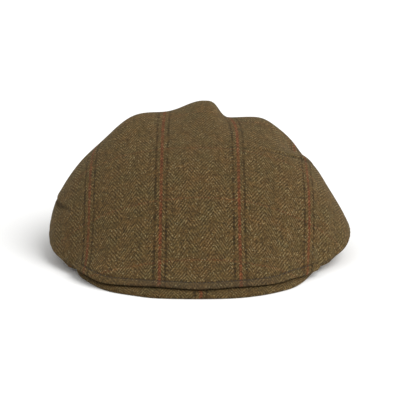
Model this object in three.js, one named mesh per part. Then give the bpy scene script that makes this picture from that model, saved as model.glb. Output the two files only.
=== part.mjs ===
import * as THREE from "three";

// A soft flat cap lying on a table. Millimetres, +Z up, the peak points to -Y.
// The origin is on the table, under the middle of the cap's width and length.
const capWidth = 248; // across the widest part of the crown
const capLength = 280; // from the lip of the peak to the back of the crown
const crownHeight = 100; // from the table to the crown's crest, without its folds
const headAcross = 162; // inside the sweatband, ear to ear
const headAlong = 206; // inside the sweatband, brow to back
const backOverhang = 16; // how far the crown stands out behind the rim
const clothWall = 2; // the tweed with what backs it
const bandWall = 1.3;
const bandHeight = 22;
const peakWall = 3.4; // the stiff board in its cloth
const gap = 0.3; // left free wherever two pieces are sewn together
const rimFold = 4; // upright turned edge at the bottom of the side panels
const browLift = 13.5; // how far the rim leaves the table at the brow

const halfWidth = capWidth / 2;
const halfLength = capLength / 2;
const bandAcross = headAcross / 2 + bandWall; // outside of the sweatband
const bandAlong = headAlong / 2 + bandWall;
const headCentre = halfLength - backOverhang - clothWall - gap - bandAlong;
const browLiftStart = headCentre - 0.2 * bandAlong; // the rim is flat behind this

// The crown's edge, from the middle of the front to the middle of the back.
// left, right: shares of the half width; along: of the half length; rise: of the crown height.
const crownEdge = [
  { along: -0.954, left: 0, right: 0, riseLeft: 0.05, riseRight: 0.05 },
  { along: -0.928, left: 0.21, right: 0.19, riseLeft: 0.05, riseRight: 0.05 },
  { along: -0.875, left: 0.4, right: 0.36, riseLeft: 0.05, riseRight: 0.05 },
  { along: -0.8, left: 0.57, right: 0.485, riseLeft: 0.05, riseRight: 0.05 },
  { along: -0.69, left: 0.69, right: 0.59, riseLeft: 0.055, riseRight: 0.06 },
  { along: -0.56, left: 0.775, right: 0.715, riseLeft: 0.06, riseRight: 0.065 },
  { along: -0.42, left: 0.875, right: 0.84, riseLeft: 0.07, riseRight: 0.085 },
  { along: -0.26, left: 0.96, right: 0.945, riseLeft: 0.1, riseRight: 0.12 },
  { along: -0.08, left: 0.995, right: 0.995, riseLeft: 0.155, riseRight: 0.165 },
  { along: 0.13, left: 0.99, right: 0.99, riseLeft: 0.225, riseRight: 0.2 },
  { along: 0.37, left: 0.935, right: 0.93, riseLeft: 0.305, riseRight: 0.26 },
  { along: 0.59, left: 0.82, right: 0.82, riseLeft: 0.395, riseRight: 0.36 },
  { along: 0.775, left: 0.65, right: 0.65, riseLeft: 0.495, riseRight: 0.475 },
  { along: 0.91, left: 0.425, right: 0.425, riseLeft: 0.565, riseRight: 0.56 },
  { along: 0.98, left: 0.21, right: 0.21, riseLeft: 0.597, riseRight: 0.597 },
  { along: 1, left: 0, right: 0, riseLeft: 0.608, riseRight: 0.608 },
];

// Sections across the crown. crest: share of the crown height.
// A section falls from crest to edge as (1 - r^flat)^round, r from 0 at the middle to 1 at the edge.
const sections = [
  { along: -0.954, crest: 0.06, flatLeft: 2, flatRight: 2, roundLeft: 1, roundRight: 1 },
  { along: -0.8, crest: 0.2, flatLeft: 2, flatRight: 2, roundLeft: 0.95, roundRight: 0.95 },
  { along: -0.6, crest: 0.41, flatLeft: 2.1, flatRight: 2.1, roundLeft: 0.85, roundRight: 0.88 },
  { along: -0.4, crest: 0.6, flatLeft: 2.2, flatRight: 2.2, roundLeft: 0.76, roundRight: 0.84 },
  { along: -0.2, crest: 0.755, flatLeft: 2.3, flatRight: 2.3, roundLeft: 0.64, roundRight: 0.8 },
  { along: 0, crest: 0.87, flatLeft: 2.5, flatRight: 2.6, roundLeft: 0.57, roundRight: 0.8 },
  { along: 0.2, crest: 0.945, flatLeft: 2.7, flatRight: 2.9, roundLeft: 0.55, roundRight: 0.85 },
  { along: 0.4, crest: 0.98, flatLeft: 2.9, flatRight: 3.3, roundLeft: 0.6, roundRight: 0.87 },
  { along: 0.6, crest: 0.98, flatLeft: 3.2, flatRight: 3.9, roundLeft: 0.66, roundRight: 0.86 },
  { along: 0.8, crest: 0.935, flatLeft: 3.2, flatRight: 4.2, roundLeft: 0.76, roundRight: 0.85 },
  { along: 0.92, crest: 0.83, flatLeft: 3.2, flatRight: 3.8, roundLeft: 0.75, roundRight: 0.75 },
  { along: 1, crest: 0.608, flatLeft: 2.5, flatRight: 2.5, roundLeft: 0.7, roundRight: 0.7 },
];

// Soft folds of the crown. across, along: shares of the half width and half length;
// heading: degrees from +Y towards +X; reach: half the length, of the cap length;
// left, right: half the width to each side, of the cap width; rise: of the crown height.
const folds = {
  hump: { across: 0.025, along: 0.7, heading: 0, reach: 0.18, left: 0.097, right: 0.056, rise: 0.13 },
  leftShoulder: { across: -0.45, along: 0.48, heading: 20, reach: 0.14, left: 0.08, right: 0.1, rise: 0.07 },
  rightShoulder: { across: 0.44, along: 0.57, heading: 0, reach: 0.14, left: 0.05, right: 0.05, rise: 0.03 },
  bump: { across: 0.77, along: 0.3, heading: 25, reach: 0.1, left: 0.032, right: 0.036, rise: 0.03 },
  crease: { across: 0.66, along: 0.44, heading: 25, reach: 0.1, left: 0.028, right: 0.028, rise: -0.06 },
};
const browSlope = 0.5; // the crown rises off the peak at least this steeply
const browReach = 25; // over this length behind its front edge
const browFade = 100; // and that rule has died out this far behind the edge
const foldFade = 0.3; // folds die out over this share of the way in from the crown's edge

// The lip of the peak, from its middle to its end. Columns as in crownEdge.
const peakLip = [
  { along: -1, left: 0, right: 0 },
  { along: -0.985, left: 0.26, right: 0.21 },
  { along: -0.935, left: 0.4, right: 0.365 },
  { along: -0.87, left: 0.53, right: 0.475 },
  { along: -0.79, left: 0.62, right: 0.57 },
  { along: -0.68, left: 0.695, right: 0.64 },
  { along: -0.56, left: 0.75, right: 0.69 },
  { along: -0.44, left: 0.75, right: 0.71 },
  { along: -0.32, left: 0.705, right: 0.685 },
  { along: -0.2, left: 0.62, right: 0.62 },
];
const peakEndAngle = 56; // degrees round the head centre, from the front
const peakEndWidth = 5; // least width of the peak at its end
const peakCamber = 1.2; // how much the peak arches between lip and rim
const lipEndLift = 1.5; // how far the lip leaves the table at its ends
const lipSeat = 0.56; // lets the lowest line of the rounded lip touch the table

// The crown's edge stands a little higher off the peak round one place at the left of the front.
const edgeLift = { angle: -36, spread: 12, rise: 1.8 }; // degrees, degrees, millimetres

// How the cloth is led, in thicknesses of the cloth wall
const edgeRoom = 1.15; // under the crown's edge, for the wall's own inner corner
const rimRoom = 1.2; // from the sweatband to the outside of the side panels' rim
const firstRow = 1.3; // least width of a side panel's first row, which holds the mitred seam
const panelSag = 0.05; // share of its fall by which a side panel sags below a straight line
const rimBlend = 3; // rounds the corner where the rim leaves the sweatband for the peak's end
const riseBlend = 0.5; // rounds the corner where the crown's edge meets the peak

// Mesh steps
const turnStep = 4; // degrees round the head centre
const crownRings = 15;
const panelRows = 6;
const panelStart = 48; // degrees from the front, where the side panels begin
const lipRounding = [25, 50, 90]; // degrees round the lip's half-round edge
const peakRows = 7;
const ringTurn = 80; // degrees of the arc that sets the crown's rings, closer near its edge
const widestFirstRow = 0.6; // share of a panel's line that its first row takes at most
const halvings = 44; // steps of the search for a place in a table

const toRadians = THREE.MathUtils.degToRad;
const clamp = THREE.MathUtils.clamp;

// A smooth curve through table values, at a place counted in rows.
// A column that is even at an end of the table is mirrored there; the others run straight on.
function between(rows, key, place, evenStart = false, evenEnd = false) {
  const last = rows.length - 1;
  const i = clamp(Math.floor(place), 0, last - 1);
  const f = clamp(place, 0, last) - i;
  const b = rows[i][key];
  const c = rows[i + 1][key];
  const before = evenStart ? c : 2 * b - c;
  const after = evenEnd ? b : 2 * c - b;
  const a = i > 0 ? rows[i - 1][key] : before;
  const d = i < last - 1 ? rows[i + 2][key] : after;
  const bend = 2 * a - 5 * b + 4 * c - d;
  const twist = 3 * b - a - 3 * c + d;
  return 0.5 * (2 * b + (c - a) * f + bend * f * f + twist * f * f * f);
}

// The place in rows where a rising function reaches a value.
function placeOf(rows, rising, value) {
  let low = 0;
  let high = rows.length - 1;
  for (let n = 0; n < halvings; n++) {
    const middle = (low + high) / 2;
    if (rising(middle) < value) low = middle;
    else high = middle;
  }
  return (low + high) / 2;
}

const smoothMax = (a, b, blend) => (a + b + Math.hypot(a - b, blend)) / 2;
const smoothStep = (t) => THREE.MathUtils.smoothstep(t, 0, 1);
const bell = (t) => Math.exp(-t * t);

// A point of an outline table seen from above, on one side (-1 left, 1 right).
function outlinePoint(rows, side, place) {
  const closesBehind = rows[rows.length - 1].left === 0;
  return {
    x: side * halfWidth * Math.max(between(rows, side < 0 ? "left" : "right", place), 0),
    y: halfLength * between(rows, "along", place, true, closesBehind),
  };
}

// Angles are counted round the head centre from the front, right side positive.
const angleOf = (x, y) => Math.atan2(x, headCentre - y);
const atPolar = (angle, radius) => ({
  x: radius * Math.sin(angle),
  y: headCentre - radius * Math.cos(angle),
});

function placeAtAngle(rows, angle) {
  const side = angle < 0 ? -1 : 1;
  const angleAt = (place) => {
    const p = outlinePoint(rows, side, place);
    return angleOf(side * p.x, p.y);
  };
  return placeOf(rows, angleAt, Math.abs(angle));
}

function radiusAtAngle(rows, angle) {
  const side = angle < 0 ? -1 : 1;
  const p = outlinePoint(rows, side, placeAtAngle(rows, angle));
  return Math.hypot(p.x, p.y - headCentre);
}

// The oval of the head opening, grown by a clearance.
function ovalRadius(angle, clearance) {
  const across = Math.sin(angle) / (bandAcross + clearance);
  const along = Math.cos(angle) / (bandAlong + clearance);
  return 1 / Math.hypot(across, along);
}

// Height of the rim's lower edge: on the table behind, lifted at the brow by the peak.
function rimHeight(y) {
  const brow = headCentre - bandAlong;
  return browLift * smoothStep((browLiftStart - y) / (browLiftStart - brow));
}

const peakEnd = toRadians(peakEndAngle);

function peakRadius(angle) {
  const inside = ovalRadius(angle, gap) + peakEndWidth;
  const beyond = Math.max(Math.abs(angle) - peakEnd, 0);
  return Math.max(radiusAtAngle(peakLip, angle), inside) - halfWidth * beyond;
}

// Underside of the peak at a share of its width, 0 at the lip and 1 at the rim.
function peakUnderside(angle, share) {
  const rim = atPolar(angle, ovalRadius(angle, gap));
  const lip = lipEndLift * (angle / peakEnd) ** 4;
  const arch = peakCamber * 4 * share * (1 - share);
  return lip + (rimHeight(rim.y) - lip) * share + arch - lipSeat;
}

function peakTopAt(x, y) {
  const angle = clamp(angleOf(x, y), -peakEnd, peakEnd);
  const inner = ovalRadius(angle, gap);
  const outer = peakRadius(angle);
  const share = clamp((outer - Math.hypot(x, y - headCentre)) / (outer - inner), 0, 1);
  return peakUnderside(angle, share) + peakWall;
}

// Height of the crown's edge: given by the table, but always clear of the peak.
function edgeRise(side, place) {
  const p = outlinePoint(crownEdge, side, place);
  const angle = angleOf(p.x, p.y);
  const key = side < 0 ? "riseLeft" : "riseRight";
  const given = between(crownEdge, key, place, true, true) * crownHeight;
  const reach = smoothStep((peakEnd - Math.abs(angle)) / toRadians(turnStep));
  const lift = edgeLift.rise * bell((THREE.MathUtils.radToDeg(angle) - edgeLift.angle) / edgeLift.spread);
  const clear = (peakTopAt(p.x, p.y) + gap + clothWall * edgeRoom) * reach + lift;
  return smoothMax(given, clear, riseBlend);
}

// Height of the crown's outer side over a point of the plan.
function crownHeightAt(x, y) {
  const side = x < 0 ? -1 : 1;
  const end = side < 0 ? "Left" : "Right";
  const alongAt = (place) => outlinePoint(crownEdge, side, place).y;
  const place = placeOf(crownEdge, alongAt, y);
  const width = Math.abs(outlinePoint(crownEdge, side, place).x);
  const row = placeOf(sections, (at) => between(sections, "along", at), y / halfLength);
  const section = (key) => between(sections, key, row);
  const r = clamp(Math.abs(x) / Math.max(width, 1e-6), 0, 1);
  const edge = edgeRise(side, place);
  const behindFront = y - crownEdge[0].along * halfLength;
  const brow = 1 - smoothStep(behindFront / browFade);
  const leastCrest = edge + browSlope * Math.min(behindFront, browReach) * brow;
  const crest = smoothMax(section("crest") * crownHeight, leastCrest, brow / 2);
  const height = (1 - r ** section("flat" + end)) ** section("round" + end);
  const out = Math.hypot(x, y - headCentre) / radiusAtAngle(crownEdge, angleOf(x, y));
  const fade = smoothStep((1 - out) / foldFade);
  let folded = 0;
  for (const fold of Object.values(folds)) {
    const turn = toRadians(fold.heading);
    const dx = x - fold.across * halfWidth;
    const dy = y - fold.along * halfLength;
    const along = dx * Math.sin(turn) + dy * Math.cos(turn);
    const across = dx * Math.cos(turn) - dy * Math.sin(turn);
    const half = (across < 0 ? fold.left : fold.right) * capWidth;
    folded += fold.rise * crownHeight * bell(across / half) * bell(along / (fold.reach * capLength));
  }
  return edge + (crest - edge) * height + folded * fade;
}

const vector = (p, z) => new THREE.Vector3(p.x, p.y, z);
const turns = Math.round(360 / turnStep);
const angles = Array.from({ length: turns }, (_, i) => toRadians(-180 + (i + 1) * turnStep));

// Crown: rings from the middle of the top out to the edge, closer together near the edge.
const ringArc = toRadians(ringTurn);
const ringShare = (k) => Math.sin((ringArc * k) / crownRings) / Math.sin(ringArc);
const crownOuter = [];
for (let k = 1; k <= crownRings; k++) {
  crownOuter.push(
    angles.map((angle) => {
      const p = atPolar(angle, radiusAtAngle(crownEdge, angle) * ringShare(k));
      return vector(p, crownHeightAt(p.x, p.y));
    }),
  );
}
const crownPole = vector({ x: 0, y: headCentre }, crownHeightAt(0, headCentre));

// Unit vectors in the upright plane through the head centre at an angle, as [out, up].
const inPlane = (angle, out, up) =>
  new THREE.Vector3(out * Math.sin(angle), -out * Math.cos(angle), up);
const outOf = (p) => Math.hypot(p.x, p.y - headCentre);

// The side panel's outer line in the upright plane at an angle: seam, tuck-under, upright rim.
function rimRadius(angle) {
  const oval = ovalRadius(angle, gap);
  return smoothMax(oval, peakRadius(angle) + gap, rimBlend) + clothWall * rimRoom;
}

function panelLine(angle, seam) {
  const out = outOf(seam);
  const rim = Math.min(rimRadius(angle), out - rimFold / 2);
  const fold = Math.min(rimFold, seam.z / 2);
  const narrowest = (firstRow * clothWall) / (out - rim);
  const firstStep = clamp(narrowest, 1 / (panelRows - 1), widestFirstRow);
  const points = [[out, seam.z]];
  for (let j = 1; j < panelRows; j++) {
    const t = firstStep + ((1 - firstStep) * (j - 1)) / (panelRows - 2);
    const sag = panelSag * (seam.z - fold) * Math.sin(Math.PI * t);
    points.push([out + (rim - out) * t, seam.z + (fold - seam.z) * t - sag]);
  }
  points.push([rim, 0]);
  return points;
}

// Corners sharper than this share of a straight line's are not mitred to their full length.
const sharpest = 0.6;

// Moves a line of [out, up] points to its inner side, with mitred corners.
function inset(points, wall, startDirection) {
  const directions = points.slice(1).map((p, i) => {
    const out = p[0] - points[i][0];
    const up = p[1] - points[i][1];
    const length = Math.hypot(out, up);
    return [out / length, up / length];
  });
  const normal = (d) => [d[1], -d[0]];
  return points.map((p, i) => {
    const before = normal(i ? directions[i - 1] : (startDirection ?? directions[0]));
    const after = normal(directions[Math.min(i, directions.length - 1)]);
    const share = wall / Math.max(1 + before[0] * after[0] + before[1] * after[1], sharpest);
    return [p[0] + (before[0] + after[0]) * share, p[1] + (before[1] + after[1]) * share];
  });
}

// Triangles of a grid of points [i][j] and its back, closed into one solid.
function sheet(front, back, closedRound) {
  const columns = front.length;
  const rows = front[0].length;
  const points = [...front.flat(), ...back.flat()];
  const triangles = [];
  const quad = (a, b, c, d) => triangles.push(a, b, c, a, c, d);
  const at = (i, j) => (i % columns) * rows + j;
  const behind = (i, j) => columns * rows + at(i, j);
  const spans = closedRound ? columns : columns - 1;
  for (let i = 0; i < spans; i++) {
    for (let j = 0; j < rows - 1; j++) {
      quad(at(i, j), at(i + 1, j), at(i + 1, j + 1), at(i, j + 1));
      quad(behind(i, j), behind(i, j + 1), behind(i + 1, j + 1), behind(i + 1, j));
    }
    quad(at(i, 0), behind(i, 0), behind(i + 1, 0), at(i + 1, 0));
    quad(at(i, rows - 1), at(i + 1, rows - 1), behind(i + 1, rows - 1), behind(i, rows - 1));
  }
  if (!closedRound) {
    for (let j = 0; j < rows - 1; j++) {
      quad(at(0, j), at(0, j + 1), behind(0, j + 1), behind(0, j));
      quad(at(spans, j), behind(spans, j), behind(spans, j + 1), at(spans, j + 1));
    }
  }
  return solid(points, triangles);
}

// A dome of rings round one middle point, and its inner side.
function dome(pole, rings, innerPole, innerRings) {
  const around = rings[0].length;
  const count = rings.length * around;
  const points = [...rings.flat(), ...innerRings.flat(), pole, innerPole];
  const triangles = [];
  const at = (k, i) => k * around + (i % around);
  for (let i = 0; i < around; i++) {
    triangles.push(2 * count, at(0, i), at(0, i + 1));
    triangles.push(2 * count + 1, count + at(0, i + 1), count + at(0, i));
    for (let k = 0; k < rings.length - 1; k++) {
      const [a, b, c, d] = [at(k, i), at(k + 1, i), at(k + 1, i + 1), at(k, i + 1)];
      triangles.push(a, b, c, a, c, d);
      triangles.push(count + a, count + c, count + b, count + a, count + d, count + c);
    }
    const [a, b] = [at(rings.length - 1, i), at(rings.length - 1, i + 1)];
    triangles.push(a, count + a, count + b, a, count + b, b);
  }
  return solid(points, triangles);
}

function solid(points, triangles) {
  let volume = 0;
  const cross = new THREE.Vector3();
  for (let i = 0; i < triangles.length; i += 3) {
    const [a, b, c] = triangles.slice(i, i + 3).map((n) => points[n]);
    volume += a.dot(cross.crossVectors(b, c));
  }
  const facing = volume < 0 ? [...triangles].reverse() : triangles;
  const geometry = new THREE.BufferGeometry().setFromPoints(points);
  geometry.setIndex(facing);
  return geometry;
}

// Inner side of the crown: each point moved in along the cloth's own normal.
const crownInner = crownOuter.map((ring, k) =>
  ring.map((point, i) => {
    const angle = angles[i];
    const inside = k > 0 ? crownOuter[k - 1][i] : crownPole;
    if (k === crownRings - 1) return crownSeam(angle, point, inside).inner;
    const before = ring[(i + turns - 1) % turns];
    const after = ring[(i + 1) % turns];
    const around = after.clone().sub(before);
    const outward = crownOuter[k + 1][i].clone().sub(inside);
    const normal = new THREE.Vector3().crossVectors(outward, around).normalize();
    return point.clone().addScaledVector(normal, -clothWall);
  }),
);
const crownInnerPole = crownPole.clone().setZ(crownPole.z - clothWall);

// The crown's edge at an angle: its inner corner, and the side panel that starts there.
function crownSeam(angle, point, inside) {
  const out = outOf(point);
  const fall = [out - outOf(inside), point.z - inside.z];
  const length = Math.hypot(...fall);
  const crownDirection = [fall[0] / length, fall[1] / length];
  const degrees = THREE.MathUtils.radToDeg(Math.abs(angle));
  const sewn = degrees > panelStart - turnStep / 2;
  const outer = sewn ? panelLine(angle, point) : [[out, point.z], [out + fall[0], point.z + fall[1]]];
  const inner = inset(outer, clothWall, crownDirection);
  const place = ([o, up]) => inPlane(angle, o, up).add(new THREE.Vector3(0, headCentre, 0));
  const panelOuter = outer.map(place);
  const panelInner = inner.map(place);
  const slip = panelOuter[1].clone().sub(panelOuter[0]).normalize();
  const mitre = panelInner[0].clone().sub(panelOuter[0]).normalize();
  const moved = slip.multiplyScalar(gap / mitre.cross(slip).length());
  panelOuter[0].add(moved);
  panelInner[0].add(moved);
  return { inner: place(inner[0]), panelOuter, panelInner };
}

function sidePanel(side) {
  const outer = [];
  const inner = [];
  const first = side < 0 ? -180 : panelStart;
  const last = side < 0 ? -panelStart : 180;
  for (let degrees = first; degrees <= last; degrees += turnStep) {
    const i = Math.round((degrees + 180) / turnStep - 1 + turns) % turns;
    const seam = crownSeam(angles[i], crownOuter[crownRings - 1][i], crownOuter[crownRings - 2][i]);
    if (Math.abs(degrees) === 180) {
      [...seam.panelOuter, ...seam.panelInner].forEach((p) => p.setX((side * gap) / 2));
    }
    outer.push(seam.panelOuter);
    inner.push(seam.panelInner);
  }
  return sheet(outer, inner, false);
}

// The peak: a stiff board in cloth, its lip half round.
function peakShape() {
  const top = [];
  const bottom = [];
  const round = peakWall / 2;
  for (let degrees = -peakEndAngle; degrees <= peakEndAngle; degrees += turnStep) {
    const angle = toRadians(degrees);
    const outer = peakRadius(angle);
    const width = outer - ovalRadius(angle, gap);
    const profile = lipRounding.map((a) => ({
      share: (round * (1 - Math.cos(toRadians(a)))) / width,
      half: round * Math.sin(toRadians(a)),
    }));
    const start = profile[profile.length - 1].share;
    for (let j = 1; j <= peakRows; j++) {
      profile.push({ share: start + ((1 - start) * j) / peakRows, half: round });
    }
    const point = ({ share, half }, up) =>
      vector(atPolar(angle, outer - share * width), peakUnderside(angle, share) + round + up * half);
    top.push(profile.map((row) => point(row, 1)));
    bottom.push(profile.map((row) => point(row, -1)));
  }
  return sheet(top, bottom, false);
}

// The sweatband: an upright oval strip round the head opening.
function bandShape() {
  const wall = (clearance) =>
    angles.map((angle) => {
      const p = atPolar(angle, ovalRadius(angle, clearance));
      const foot = rimHeight(atPolar(angle, ovalRadius(angle, 0)).y);
      return [vector(p, foot), vector(p, foot + bandHeight)];
    });
  return sheet(wall(0), wall(-bandWall), true);
}

const tweed = { color: "#6b5738", roughness: 0.95, metalness: 0 };
const shadedTweed = { color: "#5f4d31", roughness: 0.95, metalness: 0 };
const bandCloth = { color: "#2b2622", roughness: 0.8, metalness: 0 };

function piece(name, geometry, look) {
  geometry.computeVertexNormals();
  const mesh = new THREE.Mesh(geometry, new THREE.MeshStandardMaterial(look));
  mesh.name = name;
  return mesh;
}

const cap = new THREE.Group();
cap.name = "flat_cap";
cap.add(
  piece("crown_top", dome(crownPole, crownOuter, crownInnerPole, crownInner), tweed),
  piece("side_left", sidePanel(-1), shadedTweed),
  piece("side_right", sidePanel(1), shadedTweed),
  piece("peak", peakShape(), tweed),
  piece("sweatband", bandShape(), bandCloth),
);

export default cap;
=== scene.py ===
# %% [markdown]
# A tweed flat cap.
# A flat cap is a soft crown of tweed, drawn forward and laid over a stiff peak. Two side panels
# tuck under from the crown's edge to the head opening, and a sweatband lines that opening.
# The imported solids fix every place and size, and the cells below lay finer cloth on them:
# rounded folds, seams, stitches, and a woven herringbone with its overcheck.

# %% Load the solids
import math

import bpy
import numpy as np
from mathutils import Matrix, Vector, noise


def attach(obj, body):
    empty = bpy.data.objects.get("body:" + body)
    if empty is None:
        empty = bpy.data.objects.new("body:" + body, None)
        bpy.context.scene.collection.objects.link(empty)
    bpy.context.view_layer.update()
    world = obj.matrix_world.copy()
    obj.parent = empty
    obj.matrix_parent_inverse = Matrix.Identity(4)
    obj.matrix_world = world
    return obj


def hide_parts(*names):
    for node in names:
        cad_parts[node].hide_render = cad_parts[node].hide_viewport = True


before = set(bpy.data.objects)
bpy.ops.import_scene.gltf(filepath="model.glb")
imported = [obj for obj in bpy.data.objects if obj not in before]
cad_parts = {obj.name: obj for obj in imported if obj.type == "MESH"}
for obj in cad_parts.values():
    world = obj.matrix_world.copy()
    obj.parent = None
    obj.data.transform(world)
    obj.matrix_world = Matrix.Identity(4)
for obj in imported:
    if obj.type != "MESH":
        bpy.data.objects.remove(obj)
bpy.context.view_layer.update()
print("solids:", ", ".join(sorted(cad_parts)))

# %% [markdown]
# The camera.
# The cap was pictured from straight ahead, a little above the table. A long lens keeps its sides
# from bending. A camera in Blender looks along its own -Z, so `to_track_quat` turns that axis
# towards the target, which is easier to read than three hand-set angles.

# %% Place the camera
MM = 0.001
elevation = math.radians(13)
distance = 1400 * MM
target = Vector((0, 0, 43.8 * MM))
sensor_width = 36  # millimetres, as a camera's data holds it
focal_share = 4.27  # focal length over the width of the sensor

camera_data = bpy.data.cameras.new("camera")
camera_data.sensor_width = sensor_width
camera_data.lens = focal_share * sensor_width
camera = bpy.data.objects.new("camera", camera_data)
bpy.context.collection.objects.link(camera)
camera.location = target + distance * Vector((0, -math.cos(elevation), math.sin(elevation)))
camera.rotation_euler = (target - camera.location).to_track_quat("-Z", "Y").to_euler()
bpy.context.scene.camera = camera
print("lens:", round(camera_data.lens, 1), "mm")

# %% [markdown]
# The sizes.
# These are the sizes that the cap was cut to, in metres. Everything else is a share of them, so
# that the outline of the crown stays the same when the cap is made wider or longer.

# %% Name the sizes
cap_width = 248 * MM
cap_length = 280 * MM
crown_height = 100 * MM
head_across = 162 * MM
head_along = 206 * MM
back_overhang = 16 * MM
cloth_wall = 2 * MM
band_wall = 1.3 * MM
band_height = 22 * MM
peak_wall = 3.4 * MM
gap = 0.3 * MM
rim_fold = 4 * MM
brow_lift = 13.5 * MM

half_width = cap_width / 2
half_length = cap_length / 2
band_across = head_across / 2 + band_wall
band_along = head_along / 2 + band_wall
head_centre = half_length - back_overhang - cloth_wall - gap - band_along
brow_lift_start = head_centre - 0.2 * band_along
print("head centre:", round(head_centre / MM, 1), "mm behind the middle")

# %% [markdown]
# Tables and smooth curves.
# A soft outline could be sculpted by hand, but then nobody could say why it is where it is. A
# short table of shares with a smooth curve through its rows says it plainly. The curve used here
# is a cubic one that passes through every row, and takes its slope there from the row before and
# the row after.

# %% Read a table by columns
def table(names, *rows):
    """A table as one array for each named column."""
    return dict(zip(names.split(), np.array(rows, float).T))


def between(column, place, even_start=False, even_end=False):
    """A smooth curve through a column at a place counted in rows; an even end is mirrored."""
    before = column[1] if even_start else 2 * column[0] - column[1]
    after = column[-2] if even_end else 2 * column[-1] - column[-2]
    padded = np.concatenate(([before], column, [after]))
    i = np.clip(np.floor(place), 0, len(column) - 2).astype(int)
    f = np.clip(place, 0, len(column) - 1) - i
    a, b, c, d = (padded[i + n] for n in range(4))
    bend = 2 * a - 5 * b + 4 * c - d
    twist = 3 * b - a - 3 * c + d
    return (2 * b + (c - a) * f + bend * f**2 + twist * f**3) / 2


hill = table("height", [0], [1], [0])["height"]
print("halfway up a curve through 0, 1 and 0:", between(hill, np.array([0.5])))

# %% Search a curve, and blend two values
def place_of(rising, value, rows, halvings=34):
    """The place in rows where a rising curve reaches a value, by halving the table."""
    low = np.zeros_like(value)
    high = np.full_like(value, rows - 1)
    for _ in range(halvings):
        middle = (low + high) / 2
        below = rising(middle) < value
        low = np.where(below, middle, low)
        high = np.where(below, high, middle)
    return (low + high) / 2


def smooth_max(a, b, blend):
    """The larger of two values, with a soft change from one to the other."""
    return (a + b + np.hypot(a - b, blend)) / 2


def smooth_step(t):
    """From 0 to 1 as t goes from 0 to 1, level at both ends."""
    t = np.clip(t, 0, 1)
    return t * t * (3 - 2 * t)


def bell(t):
    """A soft hill: 1 in its middle, about a third at 1 from it, and nothing from 3 on."""
    return np.exp(-t * t)


print("a bell at 0, 1 and 3:", np.round(bell(np.array([0, 1, 3])), 3))

# %% [markdown]
# The outlines seen from above.
# The crown's edge and the peak's lip are each one table from the middle of the front round to the
# back. The cap was set down by hand and isn't even, so left and right have columns of their own.
# `along` is a share of half the length, `left` and `right` of half the width, and the rises are
# shares of the crown's height.

# %% Draw the outlines
crown_edge = table(
    "along left right rise_left rise_right",
    (-0.954, 0, 0, 0.05, 0.05),
    (-0.928, 0.21, 0.19, 0.05, 0.05),
    (-0.875, 0.4, 0.36, 0.05, 0.05),
    (-0.8, 0.57, 0.485, 0.05, 0.05),
    (-0.69, 0.69, 0.59, 0.055, 0.06),
    (-0.56, 0.775, 0.715, 0.06, 0.065),
    (-0.42, 0.875, 0.84, 0.07, 0.085),
    (-0.26, 0.96, 0.945, 0.1, 0.12),
    (-0.08, 0.995, 0.995, 0.155, 0.165),
    (0.13, 0.99, 0.99, 0.225, 0.2),
    (0.37, 0.935, 0.93, 0.305, 0.26),
    (0.59, 0.82, 0.82, 0.395, 0.36),
    (0.775, 0.65, 0.65, 0.495, 0.475),
    (0.91, 0.425, 0.425, 0.565, 0.56),
    (0.98, 0.21, 0.21, 0.597, 0.597),
    (1, 0, 0, 0.608, 0.608),
)
peak_lip = table(
    "along left right",
    (-1, 0, 0),
    (-0.985, 0.26, 0.21),
    (-0.935, 0.4, 0.365),
    (-0.87, 0.53, 0.475),
    (-0.79, 0.62, 0.57),
    (-0.68, 0.695, 0.64),
    (-0.56, 0.76, 0.69),
    (-0.44, 0.785, 0.73),
    (-0.32, 0.77, 0.72),
    (-0.2, 0.68, 0.66),
)
for name, rows in (("crown", crown_edge), ("peak", peak_lip)):
    print(name, "at its widest, left and right:", rows["left"].max(), rows["right"].max())

# %% Measure from the head's centre
def outline(rows, left, place):
    """Distance from the middle line, and the place along it, for points of one outline."""
    closes_behind = rows["left"][-1] == 0
    across = np.where(left, between(rows["left"], place), between(rows["right"], place))
    along = between(rows["along"], place, True, closes_behind)
    return half_width * np.maximum(across, 0), half_length * along


def angle_of(x, y):
    """Angle round the head's centre, from the front, positive on the right side."""
    return np.arctan2(x, head_centre - y)


def radius_at(rows, angle):
    """Distance of an outline from the head's centre at an angle."""
    left = angle < 0

    def turned(place):
        x, y = outline(rows, left, place)
        return angle_of(x, y)

    x, y = outline(rows, left, place_of(turned, np.abs(angle), len(rows["along"])))
    return np.hypot(x, y - head_centre)


def oval_radius(angle, clearance):
    """The oval of the head opening, grown by a clearance."""
    across = np.sin(angle) / (band_across + clearance)
    along = np.cos(angle) / (band_along + clearance)
    return 1 / np.hypot(across, along)


degrees_seen = np.radians(np.array([0.0, 90.0, 180.0]))
print("crown's edge at front, side, back:", np.round(radius_at(crown_edge, degrees_seen) / MM))

# %% [markdown]
# The peak and the rim.
# The peak is a crescent of stiff board. At the lip it lies on the table, and at the brow it is
# lifted with the rim, so its underside is worked out from both. The crown's front edge then rests
# just above its top.

# %% Shape the peak and the rim
peak_end = math.radians(56)
peak_end_width = 5 * MM
peak_camber = 1.2 * MM
lip_end_lift = 1.5 * MM
lip_seat = 0.45 * MM
edge_lift = {"angle": math.radians(-40), "spread": math.radians(9), "rise": 2.6 * MM}
edge_room = 1.15 * cloth_wall
edge_blend = math.radians(4)
rise_blend = 0.5 * MM


def rim_height(y):
    """The rim lies on the table behind and is lifted at the brow."""
    brow = head_centre - band_along
    return brow_lift * smooth_step((brow_lift_start - y) / (brow_lift_start - brow))


def peak_radius(angle):
    """Distance of the peak's lip from the head's centre; past its end it tapers off."""
    inside = oval_radius(angle, gap) + peak_end_width
    beyond = np.maximum(np.abs(angle) - peak_end, 0)
    return np.maximum(radius_at(peak_lip, angle), inside) - half_width * beyond


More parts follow.
